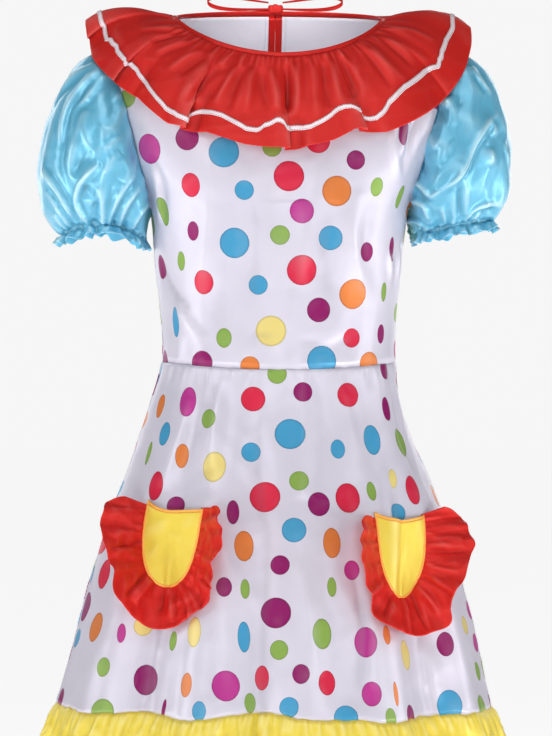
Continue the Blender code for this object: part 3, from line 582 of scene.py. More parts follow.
def refine(grid, parts):
    """A grid with each row step cut into parts, on smooth curves through its points."""
    wide = np.concatenate([2 * grid[:1] - grid[1:2], grid, 2 * grid[-1:] - grid[-2:-1]])
    at = np.linspace(0, len(grid) - 1, (len(grid) - 1) * parts + 1)
    i = np.minimum(at.astype(int), len(grid) - 2)
    f = (at - i).reshape(-1, *[1] * (grid.ndim - 1))
    a, b, c, d = (wide[i + k] for k in range(4))
    bent = (2 * a - 5 * b + 4 * c - d) * f**2 + (3 * b - a - 3 * c + d) * f**3
    return (2 * b + (c - a) * f + bent) / 2


def along_line(line):
    """How far each point of a line is from its start."""
    return np.append(0, np.cumsum(np.linalg.norm(np.diff(line, axis=0), axis=1)))


def lengths(grid, axis):
    """How far each point is along its row or column, over the cloth."""
    steps = np.linalg.norm(np.diff(grid, axis=axis), axis=2)
    pad = [(1, 0), (0, 0)] if axis == 0 else [(0, 0), (1, 0)]
    return np.cumsum(np.pad(steps, pad), axis=axis)


def softened(grid, passes, loop=False):
    """A grid of points with each one drawn towards its neighbours."""
    for _ in range(passes):
        wide = np.pad(grid, ((1, 1), (0, 0), (0, 0)), mode="edge")
        grid = (wide[:-2] + 2 * grid + wide[2:]) / 4
        wide = joined_round(grid) if loop else np.pad(grid, ((0, 0), (1, 1), (0, 0)), mode="edge")
        grid = (wide[:, :-2] + 2 * grid + wide[:, 2:]) / 4
    return grid


def seen(points):
    """Where points fall in the view, in pixels."""
    offset = points - EYE
    scale = CAMERA_DISTANCE / (offset @ AHEAD) / PIXEL
    x = VIEW_WIDTH / 2 + offset @ RIGHT * scale
    y = VIEW_HEIGHT / 2 - offset @ UP * scale
    return np.stack([x, y], axis=-1)


def sight(x, y):
    """The direction in which a pixel looks."""
    across = RIGHT * (x - VIEW_WIDTH / 2) - UP * (y - VIEW_HEIGHT / 2)
    return unit(AHEAD + across * PIXEL / CAMERA_DISTANCE)


def fading(distance, reach):
    """1 at no distance, falling softly to nothing past reach."""
    return np.exp(-((distance / reach) ** 2))


def crumple(points, kind, seed):
    """The ridges of an uneven cloth, as heights in metres."""
    height, size, soft = UNEVEN[kind]
    dice = np.random.RandomState(seed)
    total = np.zeros(points.shape[:-1])
    for _ in range(6):
        wave, bend = dice.normal(size=(2, 3))
        wave *= math.pi / size / np.linalg.norm(wave) * dice.uniform(0.6, 1.3)
        bend *= math.pi / size / np.linalg.norm(bend) * 0.6
        phase = dice.uniform(0, 6.3, 2)
        slant = points @ wave + phase[0] + 1.3 * np.sin(points @ bend + phase[1])
        total += 1 - 2 * np.abs(np.sin(slant)) ** soft
    return height * total / 3


class Cloth:
    """A sheet as a fine grid of points. flat is its form before it is creased, out its
    outward directions there, across and down how far each point is over the cloth, in
    metres, and view where it falls in the view, in pixels."""

    def __init__(self, grid, outward=1, loop=False):
        self.flat = grid
        self.loop = loop
        self.outward = outward
        self.out = outward * normals(grid, loop)
        self.points = grid.copy()
        self.across = lengths(grid, 1)
        self.across -= self.across[:, grid.shape[1] // 2, None]
        self.down = lengths(grid, 0)
        self.view = seen(grid)

    def push(self, height):
        """Moves the cloth out of its flat form by a height at each point."""
        self.points = self.points + self.out * height[..., None]

    def rumple(self, kind, seed, share=1.0):
        """Makes the cloth uneven, by a share of the kind's height at each point."""
        self.push(crumple(self.flat, kind, seed) * share)

    def spot(self, x, y, behind=False):
        """The row and column of the cloth that a pixel looks at."""
        facing = self.out @ AHEAD < 0
        wrong = facing if behind else ~facing
        miss = np.hypot(self.view[..., 0] - x, self.view[..., 1] - y) + 1e4 * wrong
        return np.unravel_index(np.argmin(miss), miss.shape)

    def under(self, x, y, behind=False):
        """The place of the cloth that a pixel looks at, and its outward direction."""
        nearest = self.spot(x, y, behind)
        place, out = self.flat[nearest], self.out[nearest]
        ray = sight(x, y)
        slope = ray @ out
        if abs(slope) > GRAZING:
            hit = EYE + ray * ((place - EYE) @ out) / slope
            if np.linalg.norm(hit - place) < NEARBY:
                place = hit
        return place, out

    def crease(self, path, width, height, behind=False, lean=0.35, crisp=1.5, taper=0.0):
        """Raises a ridge along a path in the view, or sinks a trough where height is
        negative. It fades at both ends, lean sinks the cloth beside it, a low crisp
        gives it a sharp crest, and taper makes it narrower toward its last end."""
        bends = refine(np.array(path, float), 4)
        line = np.array([self.under(x, y, behind)[0] for x, y in bends])
        steps = np.diff(line, axis=0)
        sizes = np.maximum(np.linalg.norm(steps, axis=1), 1e-6)
        starts = np.append(0, np.cumsum(sizes))
        near = np.full(self.flat.shape[:2], 1e3)
        share, side = np.zeros_like(near), np.zeros_like(near)
        for start, step, size, before in zip(line, steps, sizes, starts):
            gap = self.flat - start
            t = np.clip(gap @ step / size**2, 0, 1)
            gap = gap - t[..., None] * step
            distance = np.linalg.norm(gap, axis=-1)
            closer = distance < near
            near = np.where(closer, distance, near)
            share = np.where(closer, (before + t * size) / starts[-1], share)
            turned = np.sum(np.cross(step, gap) * self.out, axis=-1)
            side = np.where(closer, np.sign(turned), side)
        fade = np.sin(np.pi * np.clip(share, 0, 1)) ** 0.6
        width = width * (1 + taper * (0.5 - share))
        ridge = np.exp(-((near / width) ** crisp))
        beside = np.exp(-(((near * side - 1.7 * width) / width) ** 2))
        self.push(height * fade * (ridge - lean * beside))

    def press(self, creases, high=1.0, wide=1.0, **look):
        """Presses creases in, each high times as deep and wide times as wide."""
        for width, height, *path in creases:
            self.crease(path, width * MM * wide, height * MM * high, **look)

    def gather(self, kind, seed, along, away, around=None):
        """Small folds leaving a gathered seam. along is the place along the seam and
        away the distance from it, in metres; around is the length of a closed seam."""
        spacing, reach, height = GATHERS[kind]
        dice = np.random.RandomState(seed)
        total = np.zeros(self.flat.shape[:2])
        place, last = along.min(), along.max()
        while place < last:
            place += spacing * dice.uniform(0.6, 1.45)
            width = spacing * dice.uniform(0.24, 0.42)
            far = reach * dice.uniform(0.45, 1.5)
            offset = along - place - dice.uniform(-0.18, 0.18) * away
            if around:
                offset = (offset + around / 2) % around - around / 2
            spot = offset / (width * (1 + 0.8 * away / reach))
            total += dice.uniform(0.5, 1.3) * np.exp(-(spot**2) - (away / far) ** 2)
        held = 0.4 + 0.6 * np.clip(away / SEAM_HELD, 0, 1)
        self.push(height * held * (total - 0.45 * np.exp(-((away / reach) ** 2))))


# ---- materials


def linear(colour):
    """A colour as the screen shows it, 0 to 255, as light."""
    return tuple(((c / 255 + 0.055) / 1.055) ** 2.4 for c in colour)


class Finish:
    """A material and its nodes."""

    def __init__(self, name):
        self.material = bpy.data.materials.new(name)
        self.material.use_nodes = True
        self.tree = self.material.node_tree
        self.shader = self.tree.nodes["Principled BSDF"]

    def add(self, kind, inputs=(), **settings):
        made = self.tree.nodes.new(kind)
        for key, value in settings.items():
            setattr(made, key, value)
        for key, value in dict(inputs).items():
            self.feed(made.inputs[key], value)
        return made

    def feed(self, socket, value):
        if isinstance(value, bpy.types.NodeSocket):
            self.tree.links.new(value, socket)
        else:
            socket.default_value = value

    def noise(self, place, scale, detail=3.0, stretch=None):
        if stretch:
            place = self.add(
                "ShaderNodeVectorMath", {0: place, 1: stretch}, operation="MULTIPLY"
            ).outputs[0]
        inputs = {"Vector": place, "Scale": scale, "Detail": detail}
        return self.add("ShaderNodeTexNoise", inputs).outputs["Fac"]

    def ranged(self, value, low, high, to_low, to_high, kind="LINEAR"):
        inputs = {"Value": value, 1: low, 2: high, 3: to_low, 4: to_high}
        return self.add("ShaderNodeMapRange", inputs, interpolation_type=kind).outputs[0]

    def mix(self, factor, first, second, blend="MIX"):
        made = self.add("ShaderNodeMix", data_type="RGBA", blend_type=blend)
        for socket, value in zip(made.inputs, (factor, *[None] * 5, first, second)):
            if value is not None:
                self.feed(socket, value)
        return made.outputs[2]

    def look(self, values):
        """The material, with the shader's inputs set."""
        for name, value in values.items():
            self.feed(self.shader.inputs[name], value)
        return self.material


# The satin's weave: how often its floats and slubs come across and along each metre, and
# how often its puckers and its paler patches come.
FLOATS, SLUBS, PUCKERS, PATCHES = (2600.0, 240.0, 1.0), (900.0, 60.0, 1.0), 70.0, 11.0
INK_RIM = (0.02, 0.01, 0.02, 1)  # where a dot's ink has pooled at its edge


def shaded(colour, share):
    """A colour with a share of its light."""
    return (*(c * share for c in colour), 1)


def satin(name, colour, roughness, metal, gloss, coat=0.0, crest=0.0, trough=0.0, dotted=False):
    """Woven satin: long floats that catch the light, fine slubs and small puckers, and a
    painted highlight on the crests of its folds with painted shade in their troughs."""
    made = Finish(name)
    cloth = made.add("ShaderNodeUVMap", uv_map="cloth").outputs[0]
    floats = made.noise(cloth, 1.0, 2.0, stretch=FLOATS)
    slubs = made.noise(cloth, 1.0, 3.0, stretch=SLUBS)
    puckers = made.noise(cloth, PUCKERS, 4.0)
    patches = made.noise(cloth, PATCHES, 3.0)
    tone = made.mix(made.ranged(patches, 0.35, 0.7, 0.0, 0.55), (*colour, 1), shaded(colour, 0.86))
    if dotted:
        spot = made.add("ShaderNodeUVMap", uv_map="print").outputs[0]
        reach = made.add("ShaderNodeVectorMath", {0: spot}, operation="LENGTH").outputs["Value"]
        ink = made.add("ShaderNodeVertexColor", layer_name="ink").outputs[0]
        rim = made.ranged(reach, 0.86, 0.99, 0.0, 0.38)
        ink = made.mix(rim, ink, INK_RIM)
        ragged = {0: reach, 1: made.ranged(slubs, 0.3, 0.7, -0.012, 0.012)}
        ragged = made.add("ShaderNodeMath", ragged, operation="ADD").outputs[0]
        inked = made.ranged(ragged, 0.985, 1.005, 1.0, 0.0)
        tone = made.mix(inked, tone, ink)
    # painted highlight on the fold crests and painted shade in the fold troughs, set by the fold layer
    if crest:
        fold = made.add("ShaderNodeUVMap", uv_map="fold").outputs[0]
        fold = made.add("ShaderNodeSeparateXYZ", {0: fold}).outputs[0]
        painted_highlight = (*(c**0.3 for c in colour), 1)
        tone = made.mix(made.ranged(fold, 0.1, 2.6, 0.0, crest), tone, painted_highlight)
        tone = made.mix(made.ranged(fold, -2.2, -0.1, trough, 0.0), tone, shaded(colour, 0.35))
    dull = made.ranged(slubs, 0.2, 0.8, roughness - 0.03, roughness + 0.04)
    bump = None
    for height, strength, depth in ((puckers, 0.26, 0.0009), (slubs, 0.10, 0.0001), (floats, 0.10, 0.0001)):
        inputs = {"Height": height, "Strength": strength, "Distance": depth}
        if bump:
            inputs["Normal"] = bump
        bump = made.add("ShaderNodeBump", inputs).outputs[0]
    return made.look({
        "Base Color": made.mix(0.06, tone, floats, "OVERLAY"),
        "Roughness": dull,
        "Normal": bump,
        "Tangent": made.add("ShaderNodeTangent", direction_type="UV_MAP", uv_map="cloth").outputs[0],
        "Metallic": metal,
        "Coat Weight": coat,
        "Coat Roughness": 0.22,
        "Anisotropic": 0.4,
        "Specular IOR Level": gloss,
        "Sheen Weight": 0.04,
        "Sheen Roughness": 0.35,
    })


TWIST = 2400.0  # turns of a thread's twist, for each metre


def thread(name, colour):
    """Twisted polyester sewing thread."""
    made = Finish(name)
    place = made.add("ShaderNodeTexCoord").outputs["Object"]
    twist = made.noise(place, TWIST, 2.0)
    inputs = {"Height": twist, "Strength": 0.5, "Distance": 0.0001}
    return made.look({
        "Base Color": made.mix(twist, shaded(colour, 0.7), (*colour, 1)),
        "Normal": made.add("ShaderNodeBump", inputs).outputs[0],
        "Roughness": 0.5,
    })


def finish_of(context, name):
    """The material of a cloth or thread, made when it is first asked for."""
    found = bpy.data.materials.get(f"look_{name}")
    if found:
        return found
    kind, _, part = name.partition("_")
    colour = tuple(getattr(context.scene.clown_dress, kind))
    if part == "thread":
        shade = 0.45 if kind == "ribbon" else 0.9
        return thread(f"look_{name}", tuple(c * shade for c in colour))
    if part == "inside":
        # the plain, unprinted inner face, painted 1.3 times lighter than its cloth (up to 0.88) as painted
        # light for the inside, which lies in shade
        return satin(f"look_{name}", tuple(min(c * 1.3, 0.88) for c in colour), *INSIDE)
    return satin(f"look_{name}", colour, *SATINS[kind], dotted=part == "dotted")


# How rough each cloth is, how far its gloss takes the cloth's own colour, how much white
# gloss it has and has laid over it, and how strong the painted highlight on its fold crests
# and the painted shade in its fold troughs are.
SATINS = {
    "white": (0.36, 0.22, 0.2, 0.0, 0.16, 0.36),
    "blue": (0.32, 0.24, 0.45, 0.4, 0.7, 0.5),
    "red": (0.46, 0.24, 0.3, 0.0, 0.28, 0.7),
    "yellow": (0.42, 0.16, 0.4, 0.0, 0.5, 0.4),
    "ribbon": (0.36, 0.15, 0.45, 0.0, 0.0, 0.0),
    "gold": (0.4, 0.2, 0.45, 0.0, 0.0, 0.0),
}
INSIDE = (0.62, 0.0, 0.4)  # the dull face of any of them: roughness, own colour and gloss


# ---- making the pieces


def add_piece(context, name, mesh, finish, nodes=()):
    """Puts a mesh in the scene as a piece of the dress."""
    for part in finish:
        mesh.materials.append(finish_of(context, part))
    mesh.shade_smooth()
    made = bpy.data.objects.new(name, mesh)
    context.scene.collection.objects.link(made)
    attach(made, BODY)
    if nodes:
        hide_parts(*nodes)
    return made


def turned_in(grid, edge, outward, loop=False):
    """A grid with rows added where one of its edges is turned in at a seam."""
    if edge in ("left", "right"):
        turned = turned_in(grid.swapaxes(0, 1), {"left": "top", "right": "bottom"}[edge], -outward)
        return turned.swapaxes(0, 1)
    out = outward * normals(grid, loop)
    first, last = (0, 1) if edge == "top" else (-1, -2)
    leave = unit(grid[first] - grid[last])
    rows = [grid[first] + leave * along - out[first] * inside for along, inside in TURNED_ROWS]
    if edge == "top":
        return np.concatenate([rows[::-1], grid])
    return np.concatenate([grid, rows])


def faces_of(rows, columns):
    """The numbers of a grid's points, and the four corners of each of its faces."""
    number = np.arange(rows * columns).reshape(rows, columns)
    corners = np.stack([number[:-1, :-1], number[:-1, 1:], number[1:, 1:], number[1:, :-1]], axis=-1)
    return number, corners.reshape(-1, 4)


def write_layer(mesh, name, places):
    """A layer of places for the faces' corners, from two numbers each."""
    layer = mesh.uv_layers.new(name=name)
    layer.uv.foreach_set("vector", places.reshape(-1).astype(np.float32))


def sew(context, name, cloth, finish, wall=SHEET, edges=(), dots=None):
    """A piece of cloth from its fine grid, thickened to both sides, with the edges named
    turned in. It stands for the model's piece of the same name."""
    points = cloth.points
    pad = dict.fromkeys(("top", "bottom", "left", "right"), 0)
    for edge in edges:
        points = turned_in(points, edge, cloth.outward, cloth.loop)
        pad[edge] = len(TURNED_ROWS)
    widths = [(pad["top"], pad["bottom"]), (pad["left"], pad["right"])]
    number, corners = faces_of(*points.shape[:2])
    if cloth.outward < 0:
        corners = corners[:, ::-1]
    flat = np.pad(cloth.flat, [*widths, (0, 0)], mode="edge").reshape(-1, 3)
    spread = np.stack([cloth.across, cloth.down], axis=-1)
    spread = np.pad(spread, [*widths, (0, 0)], mode="reflect", reflect_type="odd").reshape(-1, 2)
    joined = number.copy()
    if cloth.loop:
        joined[:, -1] = joined[:, 0]
    mesh = bpy.data.meshes.new(name)
    mesh.from_pydata(points.reshape(-1, 3), [], joined.reshape(-1)[corners].tolist())
    write_layer(mesh, "cloth", spread[corners])
    # how far each point stands over the softened cloth: the fold layer, which sets the painted highlight on
    # crests and painted shade in troughs
    crest = np.sum((cloth.points - softened(cloth.points, 10, cloth.loop)) * cloth.out, axis=-1)
    crest = np.pad(crest / FOLD_HEIGHT, widths, mode="edge").reshape(-1)
    write_layer(mesh, "fold", np.repeat(crest[corners].reshape(-1), 2))
    if dots is not None:
        offset, ink = dots.on(flat, corners)
        write_layer(mesh, "print", offset)
        inks = mesh.color_attributes.new("ink", "FLOAT_COLOR", "CORNER")
        inks.data.foreach_set("color", ink.reshape(-1).astype(np.float32))
    if len(finish) > 1:
        shown = np.pad(np.zeros(cloth.points.shape[:2], int), widths, constant_values=1)
        shown = shown[:-1, :-1] & shown[:-1, 1:] & shown[1:, 1:] & shown[1:, :-1]
        mesh.polygons.foreach_set("material_index", shown.reshape(-1).astype(np.int32))
    mesh.validate()
    made = add_piece(context, f"{name}_cloth", mesh, finish, (name,))
    if cloth.loop:
        drop_loose(mesh)
    shell = made.modifiers.new("wall", "SOLIDIFY")
    shell.thickness = wall
    shell.offset = 0
    if len(finish) > 1:
        shell.material_offset = 1
    return made


def drop_loose(mesh):
    """Takes out the points that no face uses."""
    bm = bmesh.new()
    bm.from_mesh(mesh)
    loose = [vert for vert in bm.verts if not vert.link_faces]
    bmesh.ops.delete(bm, geom=loose, context="VERTS")
    bm.to_mesh(mesh)
    bm.free()


def tube(context, name, line, side, up, half_side, half_up, finish, nodes=None):
    """A soft flattened roll of cloth along a line: side and up are its directions
    across, and half_side and half_up its half sizes along them."""
    turn = np.linspace(0, 2 * math.pi, 17)[:, None]
    wide = np.sign(np.cos(turn)) * np.abs(np.cos(turn)) ** ROLL_SQUARE
    high = np.sign(np.sin(turn)) * np.abs(np.sin(turn)) ** ROLL_SQUARE
    half_side = half_side * np.ones(len(line))
    half_up = half_up * np.ones(len(line))
    grid = line + side * (half_side * wide)[..., None] + up * (half_up * high)[..., None]
    across = lengths(grid, 0)
    spread = np.stack([across, across * 0 + along_line(line)], axis=-1).reshape(-1, 2)
    number, corners = faces_of(*grid.shape[:2])
    number = number % number[-1, 0]  # the last row is the first again
    faces = number.reshape(-1)[corners]
    mesh = bpy.data.meshes.new(name)
    bm = bmesh.new()
    places = [bm.verts.new(place) for place in grid[:-1].reshape(-1, 3)]
    layer = bm.loops.layers.uv.new("cloth")
    for face, marks in zip(faces, corners):
        made = bm.faces.new([places[i] for i in face])
        for loop_, mark in zip(made.loops, marks):
            loop_[layer].uv = spread[mark]
    for end in (0, -1):
        bm.faces.new([places[i] for i in number[:-1, end]])
    bmesh.ops.recalc_face_normals(bm, faces=bm.faces)
    bm.to_mesh(mesh)
    bm.free()
    return add_piece(context, f"{name}_cloth", mesh, finish, (name,) if nodes is None else nodes)


def stitch(context, name, lines, finish, pitch=0.0032, length=0.0023, radius=0.00032):
    """A row of stitches along each line. A line is its points and their outward
    directions, already on the cloth's surface."""
    ring = np.linspace(0, 2 * math.pi, 6)[:-1]
    verts, faces = [], []
    for line, out in lines:
        size = along_line(line)
        for start in np.arange(pitch / 2, size[-1] - length, pitch):
            at = start + length * np.array([0, 0.22, 0.78, 1])
            spine = np.array([np.interp(at, size, line[:, i]) for i in range(3)]).T
            up = unit(np.array([np.interp(at, size, out[:, i]) for i in range(3)]).T)
            along = unit(spine[-1] - spine[0])
            side = np.cross(along, up)
            first = len(verts)
            verts.append(spine[0])
            for i in (1, 2):
                for turn in ring:
                    lift = up[i] * (math.cos(turn) * radius + radius * 0.8)
                    verts.append(spine[i] + lift + side[i] * math.sin(turn) * radius * 1.2)
            verts.append(spine[-1])
            for k in range(5):
                after = (k + 1) % 5
                faces.append((first, first + 1 + k, first + 1 + after))
                faces.append((first + 1 + k, first + 6 + k, first + 6 + after, first + 1 + after))
                faces.append((first + 6 + k, first + 11, first + 6 + after))
    mesh = bpy.data.meshes.new(name)
    mesh.from_pydata(verts, [], faces)
    return add_piece(context, name, mesh, finish)


def on_cloth(cloth, row, column, wall=SHEET):
    """A line on a cloth's outer surface at fractional rows and columns, with its
    outward directions."""
    out = cloth.outward * normals(cloth.points, cloth.loop)
    row, column = np.broadcast_arrays(np.asarray(row, float), np.asarray(column, float))
    up = unit(read_grid(out, row, column))
    return read_grid(cloth.points, row, column) + up * wall / 2, up


# ---- the print


class Dots:
    """The dots of one cloth: charted ones, and scattered ones where none are charted."""

    def __init__(self):
        self.dots = []

    def put(self, place, out, size, ink, narrow=1.0):
        """Puts a dot at a place on the cloth."""
        self.dots.append((place, out, DOT_RADIUS[size], linear(INKS[ink]), narrow))

    def chart(self, cloth, chart):
        """Puts dots where a table of places in the view has them."""
        for ink, dots in chart.items():
            for size, x, y, *narrow in dots:
                self.put(*cloth.under(x, y), size, ink, *narrow)

    def scatter(self, cloth, allowed, seed):
        """Dots over the allowed part of a cloth, clear of each other."""
        dice = np.random.RandomState(seed)
        flat, outs = cloth.flat.reshape(-1, 3), cloth.out.reshape(-1, 3)
        choices = np.flatnonzero(allowed.reshape(-1))
        if not len(choices):
            return
        area = np.ptp(cloth.across) * np.ptp(cloth.down) * len(choices) / len(flat)
        wanted, inks = int(area / DOT_AREA), list(INKS)
        laid = self.laid()
        for turn in range(DOT_TRIES):
            if not wanted:
                break
            i = dice.choice(choices)
            size = dice.choice(["S", "S", "M", "L"])
            gap = DOT_RADIUS[size] + DOT_GAP * (1 if turn < ROOMY_TRIES else CLOSE_GAP)
            if (np.linalg.norm(laid[:, :3] - flat[i], axis=1) < laid[:, 3] + gap).any():
                continue
            self.put(flat[i], outs[i], size, inks[dice.randint(len(inks))])
            laid = self.laid()
            wanted -= 1

    def laid(self):
        """The places and radii of the dots so far, or one far away where there are none."""
        return np.array([(*place, radius) for place, _, radius, *_ in self.dots] or [(9, 9, 9, 0)])

    def on(self, flat, corners):
        """For each face's corners, the offset from the nearest dot's middle as a share
        of its radius, and the dot's ink."""
        places, outs, sizes, inks, narrow = map(np.array, zip(*self.dots))
        outs = unit(outs)
        centres = flat[corners].mean(axis=1)
        gap = np.linalg.norm(centres[:, None] - places, axis=2) - sizes
        nearest = gap.argmin(axis=1)
        side = unit(np.cross(np.array([0, 0, 1.0]), outs))
        down = np.cross(outs, side)
        offset = flat[corners] - places[nearest][:, None]
        scale = sizes[nearest][:, None]
        x = np.sum(offset * side[nearest][:, None], axis=-1) / scale / narrow[nearest][:, None]
        y = np.sum(offset * down[nearest][:, None], axis=-1) / scale
        ink = np.concatenate([inks[nearest], np.ones((len(nearest), 1))], axis=1)
        return np.stack([x, y], axis=-1), np.repeat(ink[:, None], 4, axis=1)


# ---- bodice


def armhole(angle, side):
    """A point of the armhole, 0 at the shoulder, 90 in front, 180 under the arm."""
    z = ARMHOLE_Z + ARMHOLE_HALF_HEIGHT * np.cos(angle)
    x = SHOULDER_TIP_X + ARMHOLE_SLOPE * (z - SHOULDER_TIP_Z)
    depth = np.where(np.sin(angle) > 0, ARMHOLE_FRONT, ARMHOLE_BACK)
    return point(side * x, -depth * np.sin(angle), z)


def neckline(angle):
    """The neckline's edge, 0 at the centre front and 180 at the centre back."""
    sine, cosine = np.sin(angle), np.cos(angle)
    front = np.clip(cosine, 0, 1)
    back = np.clip(-cosine, 0, 1)
    y = NECK_CENTRE_Y - NECK_FRONT * front + NECK_BACK * back
    z = -(NECK_DROP + NECK_EASE) * front**1.5 + (NECK_RISE + NECK_EASE) * back
    return point(NECK_HALF_WIDTH * sine, y, z)


def off_neck(angle, front, side, back):
    """A direction away from the neck: one in front, one at the side, one behind."""
    sine, cosine = np.sin(angle)[..., None], np.cos(angle)[..., None]
    turned = np.array(side) * np.concatenate([sine, np.abs(sine), np.abs(sine)], axis=-1)
    ahead = np.where(cosine > 0, np.array(front) * cosine, np.array(back) * -cosine)
    return unit(turned + ahead)


def down_the_panel(angle):
    """The direction in which a panel leaves the neck."""
    return off_neck(angle, *PANEL_LEAVES)


def neck_seam(angle, past=0.0):
    """The lower edge of the neck binding, or a point past it down the panel."""
    return neckline(angle) + down_the_panel(angle) * (BINDING_DEPTH + past)


def bodice_grid(back, share):
    """Half or all of a bodice panel. share is the columns' place, 0 at the middle and
    1 at the side, and negative on the wearer's right."""
    sign = 1 if back else -1
    depth = "back" if back else "front"
    side = np.where(share < 0, -1, 1)
    size = np.abs(share)
    rows = []
    for level in np.linspace(0, 1, LOWER_ROWS + 1)[:-1]:
        turn = share * math.pi / 2
        low = WAIST_Z + WAIST_LIFT * np.sin(turn) ** 2 + WAIST_GAP / 2
        z = low + (ARMPIT_Z - low) * level
        rows.append(
            point(
                smooth(TORSO, "half_width", "z", z) * np.sin(turn),
                sign * smooth(TORSO, depth, "z", z) * np.cos(turn),
                z,
            )
        )
    for i in range(len(BODICE_ROWS["armhole"])):
        angle = math.radians(BODICE_ROWS["armhole"][i]) * (-1 if back else 1)
        spread = math.radians(BODICE_ROWS["spread"][i])
        middle_z = BODICE_ROWS[f"{depth}_z"][i]
        end = armhole(np.full_like(share, angle), side)
        middle_y = sign * smooth(TORSO, depth, "z", middle_z)
        turn = size * spread
        reach = (np.cos(turn) - math.cos(spread)) / (1 - math.cos(spread))
        rows.append(
            point(
                end[:, 0] * np.sin(turn) / math.sin(spread),
                end[:, 1] + (middle_y - end[:, 1]) * reach,
                middle_z + (end[:, 2] - middle_z) * size**2,
            )
        )
    round_neck = np.minimum(size / NECK_COLUMN, 1) * math.pi / 2 * side
    round_neck = np.where(back, side * math.pi - round_neck, round_neck)
    along_shoulder = np.clip((size - NECK_COLUMN) / (1 - NECK_COLUMN), 0, 1)[:, None]
    tip = armhole(np.zeros_like(share), side)
    top = neck_seam(round_neck, SEAM) * (1 - along_shoulder) + tip * along_shoulder
    level = np.minimum(size / NECK_COLUMN, 1)[:, None]
    steep, gentle, flat = (np.array([0, sign * y, z]) for y, z in ((0.30, -0.95), (0.85, -0.5), (1, 0)))
    onto = steep * (1 - level) + gentle * (level - along_shoulder) + flat * along_shoulder
    length = np.linalg.norm(top - rows[-1], axis=1, keepdims=True)
    bend = top + unit(onto) * length * (0.42 + 0.06 * along_shoulder)
    rows.append(rows[-1] * 0.25 + bend * 0.5 + top * 0.25)
    rows.append(top)
    grid = np.array(rows)
    grid[:, :, 1] += sign * SEAM / 2
    grid[-1, size > NECK_COLUMN - 0.01, 1] += sign * (SHOULDER_GAP - SEAM) / 2
    return grid


def back_edge(z):
    """How far a back panel's middle edge stays from the centre: seamed up to the slit,
    then cut back for the slit's binding."""
    opened = np.clip((z - SLIT_BOTTOM_Z) / SLIT_POINT, 0, 1)
    return SEAM / 2 + (SLIT_BINDING_WIDTH + SEAM) * opened


def bodice_cloth(back, share, side=0):
    """A bodice panel, softly eased where its body meets its shoulders. A back panel is
    one half, on the side given."""
    parts, _ = FINE["bodice"]
    grid = refine(bodice_grid(back, share), parts)
    step = np.arange(len(grid))[:, None] - LOWER_ROWS * parts
    size = np.abs(share)
    ease = np.exp(-((step / 11) ** 2)) * np.clip((1 - size) / 0.05, 0, 1) * np.clip(size / 0.3 - 1, 0, 1)
    for _ in range(60):
        grid[1:-1] += ease[1:-1, :, None] * ((grid[:-2] + grid[2:]) / 2 - grid[1:-1]) / 2
    if back:
        x = np.abs(grid[..., 0])
        near = np.clip(1 - x / BACK_EASE, 0, 1)
        grid[..., 0] = side * (x + back_edge(grid[..., 2]) * near)
        grid = grid[:, ::side]
    return Cloth(grid)


def crease_bodice(cloth, seed):
    """Waist puckers, and a soft unevenness all over but at the seams."""
    calm = 1 - fading(np.minimum(cloth.down, cloth.down.max(axis=0) - cloth.down), CALM["bodice"])
    cloth.rumple("bodice_drape", seed, calm)
    cloth.rumple("bodice_puckers", seed + 1, calm)
    cloth.gather("bodice_waist", seed + 2, cloth.across, cloth.down)


def at_the_back(creases, kind, mirrored=False):
    """The creases of a piece's back, as the front's: lower in the view, or mirrored too."""
    drop = BACK_CREASE_DROP[kind]
    return [
        (width, height, *[(VIEW_WIDTH - x if mirrored else x, y + drop) for x, y in path])
        for width, height, *path in creases
    ]


class BodiceMaker(bpy.types.Operator):
    """Builds the dotted front and back panels of the bodice"""

    bl_idname = "clown_dress.bodice"
    bl_label = "Bodice"

    def execute(self, context):
        scale = context.scene.clown_dress.creases
        columns = FINE["bodice"][1]
        front = bodice_cloth(False, np.linspace(-1, 1, columns + 1))
        crease_bodice(front, SEEDS["bodice_front"])
        front.press(BODICE_CREASES, BODICE_PRESS * scale)
        dots = Dots()
        dots.chart(front, BODICE_DOTS)
        unseen = (front.view[..., 1] < UNDER_COLLAR) | (front.out @ AHEAD > EDGE_ON)
        dots.scatter(front, unseen, SEEDS["bodice_front_dots"])
        made = sew(
            context, "bodice_front", front, ("white_dotted", "white_inside"),
            edges=("top", "left", "right"), dots=dots,
        )
        for side, name in ((1, "left"), (-1, "right")):
            share = side * np.linspace(1, 0, columns // 2 + 1)
            share[-1] = side * 1e-6
            back = bodice_cloth(True, share, side)
            crease_bodice(back, SEEDS["bodice_back"] + side)
            back.press(at_the_back(BODICE_CREASES, "bodice", mirrored=True), scale, behind=True)
            dots = Dots()
            dots.scatter(back, np.ones(back.flat.shape[:2], bool), SEEDS["bodice_back_dots"] + side)
            made = sew(
                context, f"bodice_back_{name}", back, ("white_dotted", "white_inside"),
                edges=("top", "left", "right"), dots=dots,
            )
        return {"FINISHED"}


# ---- neck, slit and tie


def make_binding(context):
    """The binding round the neckline, a little wrinkled."""
    angle = np.linspace(-math.pi, math.pi, 321)
    angle[[0, -1]] *= 1 - SEAM / NECK_HALF_WIDTH / math.pi
    upper, lower = neckline(angle), neck_seam(angle, -SEAM)
    panel = down_the_panel(angle)
    out = unit(np.cross(np.gradient(upper, axis=0), panel))
    middle = (upper + lower) / 2 - out * (BINDING_WALL - WALL) / 2
    wrinkle = 1 + 0.05 * np.sin(angle * 61) + 0.05 * np.sin(angle * 97 + 1)
    made = tube(
        context, "neck_binding", middle, panel, out, (BINDING_DEPTH - SEAM) / 2,
        BINDING_WALL / 2 * wrinkle * 0.92, ("red",),
    )


